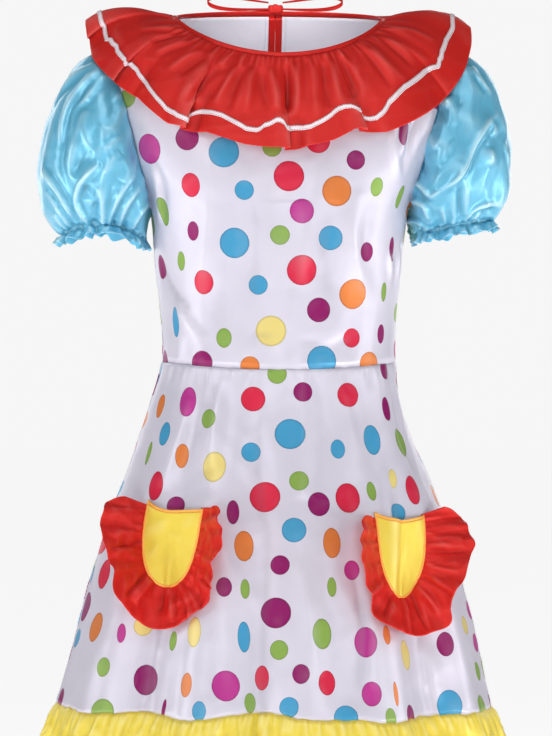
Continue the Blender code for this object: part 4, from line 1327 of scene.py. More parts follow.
def make_slit(context):
    """The two bindings of the back slit."""
    foot = SLIT_BOTTOM_Z + SLIT_POINT * np.array([0.3, 1.0])
    top = NECK_RISE + NECK_EASE - BINDING_DEPTH - SLIT_TOP_GAP
    height = np.append(foot, np.linspace(foot[-1], top, 40)[1:])
    panel = refine(bodice_grid(True, np.array([1.0, 1e-6]))[:, -1:], 4)[:, 0]
    depth = np.interp(height, panel[:, 2], panel[:, 1])
    for side, name in ((1, "left"), (-1, "right")):
        edge = back_edge(height) - SEAM
        inner = SEAM / 8
        line = point(side * (inner + edge) / 2, depth, height)
        half = (edge - inner) / 2
        made = tube(
            context, f"slit_binding_{name}", line, point(1, 0 * depth, 0), point(0, 1 + 0 * depth, 0),
            half, SLIT_BINDING_WALL / 2 * 0.95, ("red",),
        )


def make_tie(context):
    """The tie at the back of the neck: a knot, two loops and two ends."""
    half = np.array(KNOT_HALF)
    knot = np.array([0, NECK_CENTRE_Y + NECK_BACK + 0.003, NECK_RISE + 0.0014 + half[2]])
    bm = bmesh.new()
    bmesh.ops.create_uvsphere(bm, u_segments=40, v_segments=24, radius=1)
    layer = bm.loops.layers.uv.new("cloth")
    for vert in bm.verts:
        x, y, z = (math.copysign(abs(part) ** 0.62, part) for part in vert.co)
        turn = math.atan2(z, y)
        wrap = 1 + 0.05 * math.sin(x * 7 + turn) - 0.12 * math.exp(-(((abs(x) - 0.45) / 0.12) ** 2))
        vert.co = knot + half * KNOT_SPREAD * np.array([x, y * wrap, z * wrap]) - point(0, 0, 0.0008)
    for face in bm.faces:
        for corner in face.loops:
            corner[layer].uv = (corner.vert.co.x, corner.vert.co.z)
    mesh = bpy.data.meshes.new("neck_tie_knot")
    bm.to_mesh(mesh)
    bm.free()
    add_piece(context, "neck_tie_knot_cloth", mesh, ("red",), ("neck_tie_knot",))
    start = half[0] + SEAM
    turn = np.linspace(0, 1, 91)
    swing = np.sin(turn * math.pi)
    for side, name in ((1, "left"), (-1, "right")):
        path = knot + point(
            side * (start + LOOP_LENGTH * swing**0.8),
            0.001 + 0.008 * swing,
            0.004 + 0.004 * np.cos(turn * math.pi) + 0.006 * swing + 0.0045 * np.sin(2 * turn * math.pi),
        )
        across = unit(point(0 * turn, 0.9 - 0.35 * swing, 0.35 + 0.55 * swing))
        make_strip(context, f"neck_tie_loop_{name}", path, across, TIE_WIDTH)
    turn = np.linspace(0, 1, 61)
    lying = knot + point(-start - END_REACH * turn, 0.003 + 0.003 * turn, -0.0028 - 0.007 * turn)
    flat = unit(point(0 * turn, 0.30 + 0 * turn, 0.94 + 0 * turn))
    make_strip(context, "neck_tie_end_right", lying, flat, TIE_WIDTH * 0.7)
    hanging = point(
        0.001 + 0.012 * turn,
        knot[1] + half[1] + 0.0012 + HANG_OUT * turn**0.9,
        knot[2] - 0.0005 - HANG_DOWN * turn**1.2,
    )
    sideways = unit(point(1 + 0 * turn, 0.15 + 0 * turn, 0.1 + 0 * turn))
    make_strip(context, "neck_tie_end_left", hanging, sideways, TIE_WIDTH)


def make_strip(context, name, path, across, width):
    """A narrow folded strip of cloth along a path."""
    out = unit(np.cross(np.gradient(path, axis=0), across))
    pinch = 1 - 0.12 * np.exp(-((np.linspace(0, 1, len(path)) / 0.06) ** 2))
    made = tube(context, name, path, across, out, width / 2 * pinch, STRIP_HALF, ("red",))


class NeckMaker(bpy.types.Operator):
    """Builds the neck binding, the slit's bindings and the tie"""

    bl_idname = "clown_dress.neck"
    bl_label = "Neck, slit and tie"

    def execute(self, context):
        make_binding(context)
        make_slit(context)
        make_tie(context)
        return {"FINISHED"}


# ---- collar

COLLAR_WAVE = 0.0050
COLLAR_FINE_ROWS = 48
COLLAR_STEP = 0.0022  # between columns at the outer edge
COLLAR_LAP_HALF = 0.014  # half a lap's width along that edge
COLLAR_NECK_END = 179.4  # where the collar ends round the neck, in degrees from the front


def collar_cloth():
    """The collar's fine sheet: lobes with a lap between each two."""
    lobes = len(COLLAR_FOLDS) - 1
    fine = np.linspace(0, lobes, 1400)
    outer = np.radians(np.interp(fine, range(lobes + 1), COLLAR_FOLDS))
    rim = point(COLLAR_HALF_WIDTH * np.sin(outer), COLLAR_FRONT * np.cos(outer), 0 * outer)
    size = along_line(rim)
    metres = np.linspace(0, size[-1], round(size[-1] / COLLAR_STEP) + 1)
    column = np.interp(metres, size, fine)
    t = np.linspace(0, 1, COLLAR_FINE_ROWS + 1)[:, None]
    height = COLLAR_WAVE * 0.75 * t**1.3 * (2 * np.sin(np.pi * (column % 1)) ** 0.9 - 1)
    slide = np.zeros((len(t), len(column)))
    for fold, lap, stand, on_top in COLLAR_LAPS:
        s = (metres - np.interp(fold, fine, size)) / COLLAR_LAP_HALF
        near = np.exp(-((s / 1.6) ** 4))
        slide -= lap * 0.9 * near * np.sin(np.pi * np.clip(s, -1, 1)) * t**1.1
        height -= on_top * stand * near * np.tanh(2.2 * s) * t**1.2 * np.exp(-((s / 1.5) ** 2))
    moved = np.interp(metres + slide, metres, column)
    outer = np.radians(np.interp(moved, range(lobes + 1), COLLAR_FOLDS))
    limit = math.radians(COLLAR_FOLDS[-1])
    inner = np.clip(outer, -limit, limit) * COLLAR_NECK_END / COLLAR_FOLDS[-1]
    grid = collar_surface(inner, outer, t)
    straight = np.radians(np.interp(column, range(lobes + 1), COLLAR_FOLDS))[None]
    out = -normals(collar_surface(straight * COLLAR_NECK_END / COLLAR_FOLDS[-1], straight, t))
    drop = np.interp(np.degrees(outer), COLLAR_EDGE["angle"], COLLAR_EDGE["drop"])
    hang = unit(grid[-1] - grid[-4]) * drop[..., None]
    return grid + out * height[..., None] + hang * t[..., None] ** 3


def collar_surface(inner, outer, t):
    """Points of the collar before it is waved, from the neck to its edge."""
    along_neck = neckline(inner + 0.01) - neckline(inner - 0.01)
    out = unit(np.cross(along_neck, down_the_panel(inner)))
    start = neck_seam(inner, -0.0010) - out * (WALL + LAYER_GAP)
    front, back = np.clip(np.cos(outer), 0, 1), np.clip(-np.cos(outer), 0, 1)
    edge = point(
        COLLAR_HALF_WIDTH * np.sin(outer),
        NECK_CENTRE_Y - COLLAR_FRONT * front + COLLAR_BACK * back,
        COLLAR_EDGE_Z - COLLAR_FRONT_DROP * front**0.88 - COLLAR_BACK_DROP * back,
    )
    leaving, arriving = off_neck(inner, *COLLAR_LEAVES), off_neck(outer, *COLLAR_ARRIVES)
    away, back_in = (leaving, arriving) * np.array(COLLAR_BENDS)[:, None, None, None]
    return bezier(start, start + away, edge - back_in, edge, t[..., None])


def ribbon_row(collar, column):
    """The row of the collar that the middle of the ribbon lies on, for each column."""
    marks = [collar.spot(x, y) for x, y in refine(np.array(RIBBON_PATH, float), 3)]
    row, at = np.array(sorted(marks, key=lambda mark: mark[1])).T
    usual = (1 - RIBBON_IN - RIBBON_WIDTH / 2) * COLLAR_FINE_ROWS
    usual = usual + 1.4 * np.sin(column * 0.11) + 0.9 * np.sin(column * 0.053 + 2)
    inside = np.clip(np.minimum(column - at[0], at[-1] - column) / 6, 0, 1)
    return np.interp(column, at, row) * inside + usual * (1 - inside)


class CollarMaker(bpy.types.Operator):
    """Builds the gathered collar and its ribbon"""

    bl_idname = "clown_dress.collar"
    bl_label = "Collar and ribbon"

    def execute(self, context):
        scale = context.scene.clown_dress.creases
        collar = Cloth(collar_cloth(), outward=-1)
        along = lengths(collar.flat, 1)[:1] + 0 * collar.down
        seed, high = SEEDS["collar"], COLLAR_PRESS * scale
        collar.gather("collar_neck", seed, along, collar.down)
        collar.gather("collar_long", seed + 1, along, collar.down)
        collar.rumple("collar", seed + 2, collar.down / collar.down[-1])
        collar.press(COLLAR_CREASES, high, COLLAR_WIDER)
        collar.press(at_the_back(COLLAR_CREASES, "collar"), high, COLLAR_WIDER, behind=True)
        made = sew(context, "collar", collar, ("red", "red_inside"))
        column = np.arange(collar.flat.shape[1], dtype=float)[None]
        across = np.linspace(-0.5, 0.5, 5)[:, None] * RIBBON_WIDTH * COLLAR_FINE_ROWS
        rows = ribbon_row(collar, column) + across
        line, _ = on_cloth(collar, rows, column + 0 * rows, SHEET + TRIM + RIBBON_LIFT)
        ribbon = Cloth(line, outward=-1)
        made = sew(context, "collar_ribbon", ribbon, ("ribbon",), wall=TRIM)
        lines = [on_cloth(ribbon, row, column[0], TRIM) for row in (0.5, 3.5)]
        stitch(context, "ribbon_stitches", lines, ("ribbon_thread",))
        seam = on_cloth(collar, 1.6, column[0][20:-20])
        stitch(context, "collar_stitches", [seam], ("red_thread",))
        return {"FINISHED"}


# ---- sleeves


def sleeve_cloth(cut):
    """The sleeve from its cap to the elastic, and the frill past it."""
    side = cut["side"]
    rows, columns = FINE["sleeve"]
    angle = np.linspace(0, 2 * math.pi, columns + 1)
    sine, cosine = np.sin(angle), np.cos(angle)
    lean = np.array([side, 0, -ARMHOLE_SLOPE]) / math.hypot(1, ARMHOLE_SLOPE)
    start = armhole(angle, side) + lean * SLEEVE_GAP
    half_x, half_y = cut["cuff_half"]
    cuff = point(
        side * (cut["cuff_x"] + half_x * cosine),
        -half_y * sine,
        around(angle, *cut["cuff_z"]),
    )

    def pull(swell, elsewhere):
        out, up, ahead = elsewhere
        x = side * around(angle, swell[0], *out)
        return point(x, -ahead * sine, around(angle, swell[1], *up))

    leave, arrive = pull(cut["cap_swell"], CAP_SWELL), pull(cut["cuff_swell"], CUFF_SWELL)
    t = np.linspace(0, 1, rows + 1)[:, None, None]
    grid = bezier(start, start + leave, cuff + arrive, cuff, t)
    flare = FRILL_FLARE * np.where(cosine < 0, 0.1, 1)
    frill = point(side * flare * cosine, -FRILL_FLARE * sine, -CUFF_FRILL + 0 * angle)
    past = np.linspace(0, 1, FRILL_ROWS + 1)[1:, None, None]
    grid = np.concatenate([grid, cuff + frill * past])
    return Cloth(grid[:, ::side], loop=True)


class SleeveMaker(bpy.types.Operator):
    """Builds the two puff sleeves with their elastic cuffs"""

    bl_idname = "clown_dress.sleeves"
    bl_label = "Sleeves"

    def execute(self, context):
        scale = context.scene.clown_dress.creases
        rows, columns = FINE["sleeve"]
        for seed, (name, cut) in enumerate(SLEEVES.items()):
            sleeve = sleeve_cloth(cut)
            turn = np.linspace(0, 1, columns + 1)[None] + 0 * sleeve.down
            top = CAP_ROUND * turn
            outer = 0.35 + 0.65 * np.clip(0.5 + np.cos(turn * 2 * math.pi), 0, 1)
            sleeve.gather("sleeve_cap", SEEDS["sleeve_cap"] + seed, top, sleeve.down, CAP_ROUND)
            to_cuff = np.abs(sleeve.down - sleeve.down[rows])
            cuff = CUFF_ROUND * turn
            sleeve.gather("sleeve_cuff", SEEDS["sleeve_cuff"] + seed, cuff, to_cuff, CUFF_ROUND)
            sleeve.gather("sleeve_long", SEEDS["sleeve_pull"] + seed, cuff, to_cuff, CUFF_ROUND)
            middle = np.clip(sleeve.down / CALM["sleeve"], 0, 1) * np.clip(to_cuff / CALM["sleeve"], 0, 1)
            sleeve.rumple("sleeve_folds", SEEDS["sleeve_folds"] + seed, scale * middle * outer)
            sleeve.rumple("sleeve_puckers", SEEDS["sleeve_puckers"] + seed, scale * middle)
            for crease in SLEEVE_CREASES[name]:
                _, height, *path = crease
                low = path[len(path) // 2][1] > SLEEVE_LOW
                high, (wide, look) = scale * SLEEVE_PRESS[low], CREASE_LOOKS[height > 0]
                sleeve.press([crease], high, wide, **look)
                sleeve.press(at_the_back([crease], "sleeve"), high, wide, behind=True, **look)
            crinkled = scale * fading(to_cuff, CRINKLE_REACH)
            sleeve.rumple("sleeve_crinkles", SEEDS["sleeve_crinkles"] + seed, crinkled)
            past_rows = np.arange(rows + FRILL_ROWS + 1)[:, None] - rows
            frill = np.clip(past_rows / FRILL_ROWS, 0, 1)
            drift = 0.5 * np.sin(6 * math.pi * turn + seed) + 0.35 * np.sin(10 * math.pi * turn)
            wave = np.cos(2 * math.pi * (15 * turn + drift)) * (1 + 0.5 * np.sin(8 * math.pi * turn + 2))
            sleeve.push(FRILL_WAVE * frill * wave)
            longer = 0.5 * np.sin(14 * math.pi * turn + 1 + seed) + 0.5 * np.sin(22 * math.pi * turn)
            sleeve.points[..., 2] -= FRILL_DROP * frill * longer
            for row in ELASTIC_ROWS:
                sleeve.push(-ELASTIC_GROOVE * fading(past_rows - row, 0.8) + 0 * turn)
            made = sew(context, name, sleeve, ("blue", "blue_inside"), edges=("top",))
            column = np.arange(columns + 1.0)
            lines = [on_cloth(sleeve, rows + row, column) for row in ELASTIC_ROWS]
            stitch(context, f"{name}_stitches", lines, ("blue_thread",))
        return {"FINISHED"}


# ---- skirt and hem


def skirt_grid(back):
    """A skirt panel, from the waist seam down."""
    folds = SKIRT_FOLDS_BACK if back else SKIRT_FOLDS_FRONT
    depth = "back" if back else "front"
    angle = np.linspace(-90, 90, SKIRT_COLUMNS + 1) + (180 if back else 0)
    turn = np.radians(angle)
    fold = np.exp(-(((angle - folds["angle"][:, None]) / folds["width"][:, None]) ** 2))
    stand = (folds["stand"][:, None] * fold).sum(axis=0)
    drop = (folds["drop"][:, None] * fold).sum(axis=0)
    top = WAIST_Z + WAIST_LIFT * np.sin(turn) ** 2 - WAIST_GAP / 2
    grid = []
    for level in np.linspace(0, 1, SKIRT_ROWS + 1):
        z = top + (HEM_SEAM_Z - top) * level
        wave = stand * level**1.3
        sizes = [smooth(SKIRT, column, "z", z) + wave for column in ("half_width", depth)]
        y = -sizes[1] * np.cos(turn) + (SEAM if back else -SEAM) / 2
        x = sizes[0] * np.sin(turn) - SKIRT_SWAY * level**1.5
        x = x - SKIRT_FLARE * np.clip(-np.sin(turn), 0, 1) ** 2 * math.exp(-(((level - 0.17) / 0.13) ** 2))
        grid.append(point(x, y, z - (drop + SKIRT_TILT * np.sin(turn)) * level**3))
    return np.array(grid)


def skirt_cloth(back, scale):
    """A skirt panel with puckers at the waist and above the hem's ruffle, a soft
    unevenness and its creases."""
    rows, columns = FINE["skirt"]
    grid = refine(refine(skirt_grid(back), rows).swapaxes(0, 1), columns).swapaxes(0, 1)
    cloth = Cloth(grid, outward=-1)
    seed = SEEDS["skirt"] + 10 * back
    to_hem = cloth.down.max(axis=0) - cloth.down
    calm = 1 - fading(np.minimum(cloth.down, to_hem), CALM["skirt"])
    along = lengths(cloth.flat, 1)
    top, bottom = (line - line.mean() + 0 * along for line in (along[:1], along[-1:]))
    cloth.rumple("skirt_drape", seed, calm)
    cloth.rumple("skirt_puckers", seed + 1, calm)
    cloth.gather("skirt_waist", seed + 2, top, cloth.down)
    cloth.gather("skirt_long", seed + 3, top, cloth.down)
    cloth.gather("skirt_foot", seed + 4, bottom, to_hem)
    cloth.points[..., 2] += fading(to_hem, SKIRT_EDGE_REACH) * crumple(cloth.flat, "skirt_edge", seed + 5)
    cloth.press(SKIRT_CREASES, SKIRT_PRESS * scale, behind=back)
    return cloth


def hem_cloth(skirt, back):
    """A gathered strip hung from the skirt's lower edge."""
    per_row, per_column = FINE["hem"]
    column = np.linspace(0, SKIRT_COLUMNS, SKIRT_COLUMNS * per_column + 1)
    turn = column / SKIRT_COLUMNS * 2 * math.pi
    place = column.copy()
    place[[0, -1]] += np.array([1, -1]) * HEM_SIDE_GAP
    top = read_grid(skirt.points, 0 * place + 1e6, place * FINE["skirt"][1])
    out = unit(top * np.array([1, 1, 0]))
    drift = 0.30 * np.sin(4 * turn) + 0.25 * np.sin(2 * turn)
    wave = np.cos(2 * math.pi * (column + drift)) * (1 + 0.35 * np.sin(3 * turn))
    t = np.linspace(0, 1, per_row + 1)[:, None]
    away = HEM_RUFFLE_FLARE * t**0.8 + HEM_WAVE * t * wave
    grid = top + out * away[..., None] + point(0, 0, -2 * SEAM - HEM_RUFFLE_DEPTH * t)
    cloth = Cloth(grid, outward=-1)
    along = lengths(grid, 1)[:1] + 0 * cloth.down
    seed = SEEDS["hem"] + back
    cloth.gather("hem_fine", seed, along, cloth.down)
    cloth.gather("hem_long", seed + 2, along, cloth.down)
    cloth.rumple("hem", seed + 4, np.clip(t * 3, 0, 1))
    return cloth


class SkirtMaker(bpy.types.Operator):
    """Builds the dotted skirt, front and back"""

    bl_idname = "clown_dress.skirt"
    bl_label = "Skirt"

    def execute(self, context):
        for name, back in (("front", False), ("back", True)):
            skirt = skirt_cloth(back, context.scene.clown_dress.creases)
            dots = Dots()
            allowed = np.ones(skirt.flat.shape[:2], bool)
            if not back:
                dots.chart(skirt, SKIRT_DOTS)
                allowed = skirt.out @ AHEAD > EDGE_ON
            dots.scatter(skirt, allowed, SEEDS["skirt_dots"] + back)
            made = sew(
                context, f"skirt_{name}", skirt, ("white_dotted", "white_inside"),
                edges=("top", "bottom", "left", "right"), dots=dots,
            )
            hem = hem_cloth(skirt, back)
            made = sew(context, f"hem_ruffle_{name}", hem, ("yellow", "yellow_inside"), edges=("top",))
            column = np.arange(hem.flat.shape[1], dtype=float)
            low = on_cloth(hem, hem.flat.shape[0] - 2.2, column[10:-10])
            stitch(context, f"hem_stitches_{name}", [low], ("yellow_thread",))
        return {"FINISHED"}


# ---- pockets

POUCH_ROWS, POUCH_COLUMNS = 30, 40
EDGE_IN = 0.3  # rows or columns from a pouch's edge to its gold edging
EDGE_HALF_SIDE, EDGE_HALF_UP = 0.0016, 0.0011  # half sizes of that edging
MOUTH_STITCH = (0.0024, 0.0020, 0.0005)  # pitch, length and radius of the mouth's stitches
POUCH_SAG = (0.009, 0.004, 0.002)  # of its mouth: in the middle, to one side, and upward all over
POUCH_FOLD = 0.0012  # height of the soft fold down a pouch
RUFFLE_ROWS, RUFFLE_FULLNESS = 25, 2.2  # its rows, and how many times longer it was before gathering
RUFFLE_LIFT, RUFFLE_SEWN = 0.0001, 0.0011  # of its sewn edge, off the skirt and past the pouch
RUFFLE_UNDER = ((0.0040, 0.0009), (0.0013, 0.0009))  # rows tucked in: how far in and below
RUFFLE_HELD = 0.008  # how far from the sewing it lies as it was cut


def pouch_half_width(share):
    """Half a pouch's width at a share of its depth."""
    return POCKET_HALF_WIDTH * np.sqrt(np.clip(1 - share**3.4, 0, 1))


class PocketPlace:
    """Where a pocket lies on the skirt front: distances across and down from the
    middle of its mouth become places on the panel, moved out."""

    def __init__(self, skirt, angle, z, lean):
        rows, columns = FINE["skirt"]
        self.skirt, self.out, self.lean = skirt, normals(skirt), lean
        self.column = (angle + 90) / 180 * SKIRT_COLUMNS * columns
        coarse = skirt[::rows]
        heights = coarse[:, round(self.column), 2]
        self.row = np.interp(-z, -heights, np.arange(len(heights))) * rows
        down, origin = read_grid(skirt, self.row + np.array([rows, 0]), np.full(2, self.column))
        wide = coarse[:, ::columns]
        widths = np.linalg.norm(np.diff(wide, axis=1), axis=2)[:, round(self.column / columns)]
        self.column_widths = widths / columns
        self.row_height = np.linalg.norm(down - origin) / rows

    def points(self, across, down, lift):
        """Places across and down from the mouth's middle, lifted off the panel."""
        row = self.row + down / self.row_height
        width = np.interp(row / FINE["skirt"][0], np.arange(len(self.column_widths)), self.column_widths)
        column = self.column + (across + self.lean * down) / width
        place = read_grid(self.skirt, row, column)
        return place - unit(read_grid(self.out, row, column)) * lift[..., None]


def pouch_cloth(place, seed):
    """A pouch on its place, with its open mouth standing off and sagging a little."""
    rows = 1 - 0.999 * np.linspace(1, 0, POUCH_ROWS + 1)[:, None] ** 1.5 - 0.001
    columns = np.linspace(-1, 1, POUCH_COLUMNS + 1)[None, :]
    across = columns * pouch_half_width(rows)
    deep, skew, rise = POUCH_SAG
    sag = deep * (1 - columns**2) * (1 - 0.4 * columns) + skew * columns - rise
    down = rows * POCKET_DEPTH + sag * (1 - rows) ** 2
    base = WALL + LAYER_GAP
    lift = base + POCKET_MOUTH * (1 - columns**2) * (1 - rows) ** 0.8
    cloth = Cloth(place.points(across, down, lift), outward=-1)
    edge = 1 - np.abs(columns) ** 3
    cloth.rumple("pouch", seed, edge)
    cloth.push(POUCH_FOLD * fading(columns - 0.25 + 0.35 * rows, 0.16) * edge * rows)
    return cloth


def pocket_ruffle_cloth(place, side, stand, seed):
    """A strip gathered round the pouch's sides and bottom. Each rib of it runs straight
    out from the sewn edge, and leans up off the skirt by its own angle."""
    depth = 1 - np.linspace(1, 0, 60) ** 2
    outline = np.array([-pouch_half_width(depth), depth * POCKET_DEPTH]).T
    outline = np.concatenate([outline, (outline * [-1, 1])[::-1][1:]])
    length = along_line(outline)
    coarse, parts = RUFFLE_GATHERS * 4, 6
    count = coarse * parts
    at = np.linspace(0, length[-1], coarse + 1)
    edge = np.array([np.interp(at, length, outline[:, i]) for i in (0, 1)]).T
    along = np.gradient(edge, axis=0)
    away = unit(np.array([-along[:, 1], along[:, 0]]).T)
    outer_end, inner_end = (0, -1) if side < 0 else (-1, 0)
    away[outer_end], away[inner_end] = (side, -0.16), (-side, 0.22)
    away = unit(refine(unit(away), parts))
    edge = refine(edge, parts)
    ends = np.minimum(np.arange(count + 1), np.arange(count + 1)[::-1]) / parts
    width = RUFFLE_WIDTH * (1 - RUFFLE_END_TAPER * np.exp(-ends / 2)) * (1 - 0.34 * np.exp(-ends / 0.7))
    turn = np.linspace(0, 180, count + 1)
    turn = turn if side < 0 else 180 - turn
    for middle, spread, more in RUFFLE_LOBES[side]:
        width = width * (1 + more * fading(turn - middle, spread))
    tilt = np.radians(np.interp(turn, RUFFLE_STAND["turn"], stand))
    blur = np.hanning(2 * parts + 3)
    tilt = np.convolve(np.pad(tilt, parts + 1, mode="edge"), blur / blur.sum(), mode="valid")[:, None]
    wave = np.cos(np.arange(count + 1) / parts * math.pi / 2) * (0.4 + 0.3 * np.sin(np.radians(turn) * 7))
    lift = np.full(count + 1, WALL + LAYER_GAP + RUFFLE_LIFT)
    sewn = place.points(*edge.T, lift)
    up = unit(place.points(*edge.T, lift + RUFFLE_WAVE) - sewn)
    out = place.points(*(edge + away * RUFFLE_WAVE).T, lift) - sewn
    out = unit(out - up * np.sum(out * up, axis=1)[:, None])
    rib = out * np.cos(tilt) + up * np.sin(tilt)
    swing = (up * np.cos(tilt) - out * np.sin(tilt)) * wave[:, None] * RUFFLE_WAVE
    sewn = sewn + out * RUFFLE_SEWN
    grid = [sewn - out * inside - up * below for inside, below in RUFFLE_UNDER]
    grid += [sewn + (rib * width[:, None] + swing) * t for t in np.linspace(0, 1, RUFFLE_ROWS)]
    grid = np.array(grid)
    cloth = Cloth(grid, outward=-1)
    metres = lengths(grid, 1)[:1] * RUFFLE_FULLNESS + 0 * cloth.down
    cloth.gather("ruffle_fine", seed, metres, cloth.down)
    cloth.gather("ruffle_long", seed + 1, metres, cloth.down)
    cloth.rumple("pocket_ruffle", seed + 2, np.clip(cloth.down / CALM["ruffle"], 0, 1))
    return cloth


class PocketMaker(bpy.types.Operator):
    """Builds the two pouch pockets and their ruffles"""

    bl_idname = "clown_dress.pockets"
    bl_label = "Pockets"

    def execute(self, context):
        scale = context.scene.clown_dress.creases
        skirt = skirt_cloth(False, scale)
        for seed, (name, pocket) in enumerate(POCKETS.items()):
            place = PocketPlace(skirt.points, pocket["angle"], pocket["z"], pocket["lean"])
            pouch = pouch_cloth(place, SEEDS["pouch"] + seed)
            made = sew(context, f"pocket_{name}", pouch, ("yellow", "yellow_inside"))
            row = np.arange(0, POUCH_ROWS - 0.6, 0.4)
            left = on_cloth(pouch, row, EDGE_IN)
            right = on_cloth(pouch, row[::-1], POUCH_COLUMNS - EDGE_IN)
            column = np.linspace(2 * EDGE_IN, POUCH_COLUMNS - 2 * EDGE_IN, 60)
            mouth = on_cloth(pouch, EDGE_IN, column[::-1])
            line, up = [np.concatenate(parts) for parts in zip(left, right, mouth)]
            side = unit(np.cross(np.gradient(line, axis=0), up))
            bumps = EDGE_HALF_SIDE * (1 + 0.12 * np.sin(np.arange(len(line)) * 2.1))
            tube(context, f"pocket_edge_{name}", line, side, up, bumps, EDGE_HALF_UP, ("gold",), nodes=())
            mouth = on_cloth(pouch, 0.8, column)
            stitch(context, f"mouth_stitches_{name}", [mouth], ("gold_thread",), *MOUTH_STITCH)
            first = SEEDS["pocket_ruffle"] + 3 * seed
            ruffle = pocket_ruffle_cloth(place, pocket["side"], RUFFLE_STAND[name], first)
            ruffle.press(RUFFLE_CREASES[name], scale)
            free = np.clip(ruffle.down / RUFFLE_HELD, 0, 1)[..., None]
            ruffle.points = ruffle.flat + (ruffle.points - ruffle.flat) * free
            made = sew(context, f"pocket_ruffle_{name}", ruffle, ("red", "red_inside"))
        return {"FINISHED"}


# ---- studio


# The lights: which setting gives a light its power, how far it is turned to the wearer's
# left and raised, in degrees, how far it stands off, and how wide and tall it is.
LIGHTS = {
    "strip_right": ("strips", -80, -7, 2.6, 0.30, 1.9),
    "strip_left": ("strips", 78, -7, 2.6, 0.30, 1.9),
    "front": ("front", 4, 8, 3.6, 1.1, 0.9),
    "key": ("key", -38, 16, 3.4, 0.5, 1.2),
    "fill": ("fill", 40, 16, 3.4, 0.5, 1.2),
    "low_right": ("low", -40, -20, 1.6, 0.5, 0.25),
    "low_left": ("low", 46, -18, 1.25, 0.5, 0.25),
    "top": ("top", -6, 50, 3.0, 2.4, 1.8),
    "back_right": ("back", -150, 20, 3.0, 1.2, 2.2),
    "back_left": ("back", 150, 20, 3.0, 1.2, 2.2),
    "neck": ("neck", 0, 36, 0.22, 0.18, 0.03),
}
NECK_AIM = np.array([0.0, 0.062, -0.020])  # where the light into the neck points
NECK_SPREAD = 60  # how wide it spreads, in degrees
WALL_TONE = (246, 246, 246)  # what the view sees behind everything
FLOOR_GRAIN = ((0.90, 0.90, 0.90, 1), (0.95, 0.95, 0.95, 1))


class StageMaker(bpy.types.Operator):
    """Sets the floor, the lights and the camera"""

    bl_idname = "clown_dress.stage"
    bl_label = "Studio"

    def execute(self, context):
        scene, studio = context.scene, context.scene.clown_studio
        scene.view_settings.view_transform = "Standard"
        make_floor(context, studio)
        make_world(scene, studio)
        for name, (setting, *place) in LIGHTS.items():
            add_light(scene, name, getattr(studio, setting), *place)
        camera = bpy.data.cameras.new("camera")
        camera.sensor_width = SENSOR
        camera.lens = CAMERA_DISTANCE * SENSOR / (VIEW_HEIGHT * PIXEL)
        holder = bpy.data.objects.new("camera", camera)
        holder.location = EYE
        holder.rotation_euler = (math.pi / 2, 0, CAMERA_TURN)
        scene.collection.objects.link(holder)
        scene.camera = holder
        return {"FINISHED"}


def make_floor(context, studio):
    """A plain pale floor that glows a little more further off."""
    bm = bmesh.new()
    bmesh.ops.create_circle(bm, cap_ends=True, segments=96, radius=studio.floor_radius)
    mesh = bpy.data.meshes.new("floor")
    bm.to_mesh(mesh)
    bm.free()
    made = Finish("look_floor")
    place = made.add("ShaderNodeTexCoord").outputs["Object"]
    grain = made.noise(place, 14.0, 5.0)
    reach = made.add("ShaderNodeVectorMath", {0: place}, operation="LENGTH").outputs["Value"]
    glow = made.ranged(reach, 0.3, 5.0, studio.floor_near, studio.floor_glow, "SMOOTHSTEP")
    mesh.materials.append(made.look({
        "Base Color": made.mix(grain, *FLOOR_GRAIN),
        "Roughness": 0.9,
        "Emission Color": (1, 1, 1, 1),
        "Emission Strength": glow,
    }))
    floor = bpy.data.objects.new("floor", mesh)
    floor.location.z = studio.floor_z
    context.scene.collection.objects.link(floor)


def make_world(scene, studio):
    """Soft light from all round, and the tone that the view sees behind everything."""
    world = bpy.data.worlds.new("studio")
    world.use_nodes = True
    nodes, links = world.node_tree.nodes, world.node_tree.links
    lit = nodes["Background"]
    lit.inputs["Color"].default_value = (1, 1, 1, 1)
    lit.inputs["Strength"].default_value = studio.ambient
    wall = nodes.new("ShaderNodeBackground")
    wall.inputs["Color"].default_value = (*linear(WALL_TONE), 1)
    wall.inputs["Strength"].default_value = 1.0
    path, mix = nodes.new("ShaderNodeLightPath"), nodes.new("ShaderNodeMixShader")
    links.new(path.outputs["Is Camera Ray"], mix.inputs[0])
    links.new(lit.outputs[0], mix.inputs[1])
    links.new(wall.outputs[0], mix.inputs[2])
    links.new(mix.outputs[0], nodes["World Output"].inputs["Surface"])
    scene.world = world


def add_light(scene, name, power, turn, rise, distance, wide, tall):
    """A soft panel that faces the dress, or the inside of the neck."""
    light = bpy.data.lights.new(name, "AREA")
    light.shape = "RECTANGLE"
    light.size, light.size_y = wide, tall
    light.energy = power
    aim = AIM
    if name == "neck":
        aim, light.spread = NECK_AIM, math.radians(NECK_SPREAD)
    turn, rise = math.radians(turn), math.radians(rise)
    away = np.array([math.sin(turn) * math.cos(rise), -math.cos(turn) * math.cos(rise), math.sin(rise)])
    holder = bpy.data.objects.new(name, light)
    holder.location = aim + away * distance
    holder.rotation_euler = (math.pi / 2 - rise, 0, turn)
    scene.collection.objects.link(holder)


# ---- settings and panel


def colour(name, description, shown):
    """A colour setting, by how the screen shows it."""
    return bpy.props.FloatVectorProperty(
        name=name, description=description, default=linear(shown), subtype="COLOR", min=0, max=1
    )


def number(name, description, default, low, high, **more):
    """A setting that is a number between two others."""
    return bpy.props.FloatProperty(
        name=name, description=description, default=default, min=low, max=high, **more
    )


def power(name, description, default):
    """A light's power, in watts."""
    return number(name, description, default, 0.0, 500.0, unit="POWER")


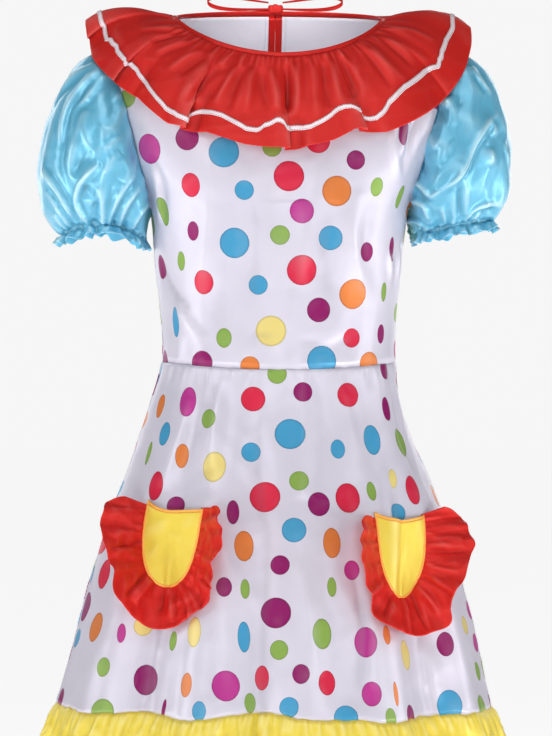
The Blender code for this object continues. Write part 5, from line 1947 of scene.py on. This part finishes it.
class ClownDressSettings(bpy.types.PropertyGroup):
    white: colour("White satin", "Ground of the dotted cloth", (210, 206, 220))
    blue: colour("Blue satin", "Cloth of the sleeves", (101, 184, 217))
    red: colour("Red satin", "Cloth of the collar, ruffles and bindings", (214, 36, 30))
    yellow: colour("Yellow satin", "Cloth of the hem's ruffle and the pouches", (238, 214, 78))
    ribbon: colour("Ribbon", "Ribbon round the collar", (248, 232, 238))
    gold: colour("Gold thread", "Cord and stitches round the pouches", (255, 184, 84))
    creases: number("Creases", "How deep the creases are", 1.0, 0.0, 2.0, subtype="FACTOR")


class StudioSettings(bpy.types.PropertyGroup):
    floor_z: number("Floor", "Height of the floor", -1.40, -3.0, -0.95, unit="LENGTH")
    floor_radius: number("Floor radius", "Size of the floor", 40.0, 5.0, 100.0, unit="LENGTH")
    floor_glow: number("Floor glow", "Light that the far floor gives off", 0.825, 0.0, 1.0)
    floor_near: number("Near floor glow", "Light that the floor under the dress gives off", 0.60, 0.0, 1.0)
    ambient: number("Ambient", "Soft light from all round", 0.10, 0.0, 2.0)
    strips: power("Strips", "Power of the two tall strip lights", 15.0)
    front: power("Front", "Power of the light in front", 10.5)
    key: power("Key", "Power of the light on the wearer's right", 14.0)
    fill: power("Fill", "Power of the light on the wearer's left", 4.5)
    low: power("Low", "Power of the two lights near the floor", 3.0)
    top: power("Top", "Power of the light overhead", 28.0)
    back: power("Back", "Power of the lights behind", 17.0)
    neck: power("Neck", "Power of the small light into the neck", 0.04)


MAKERS = (BodiceMaker, NeckMaker, CollarMaker, SleeveMaker, SkirtMaker, PocketMaker, StageMaker)


class ClownDressPanel(bpy.types.Panel):
    """Lists the steps that build the dress"""

    bl_idname = "VIEW3D_PT_clown_dress"
    bl_label = "Clown dress"
    bl_space_type = "VIEW_3D"
    bl_region_type = "UI"
    bl_category = "Clown dress"

    def draw(self, context):
        for maker in MAKERS:
            self.layout.operator(maker.bl_idname)
        for settings in (context.scene.clown_dress, context.scene.clown_studio):
            box = self.layout.box()
            for name in settings.bl_rna.properties.keys():
                if name not in ("rna_type", "name"):
                    box.prop(settings, name)


CLASSES = (ClownDressSettings, StudioSettings, *MAKERS, ClownDressPanel)


def register():
    for made in CLASSES:
        bpy.utils.register_class(made)
    bpy.types.Scene.clown_dress = bpy.props.PointerProperty(type=ClownDressSettings)
    bpy.types.Scene.clown_studio = bpy.props.PointerProperty(type=StudioSettings)


def unregister():
    del bpy.types.Scene.clown_dress
    del bpy.types.Scene.clown_studio
    for made in reversed(CLASSES):
        bpy.utils.unregister_class(made)


def main():
    register()
    for maker in MAKERS:
        group, name = maker.bl_idname.split(".")
        getattr(getattr(bpy.ops, group), name)()


if __name__ == "__main__":
    main()
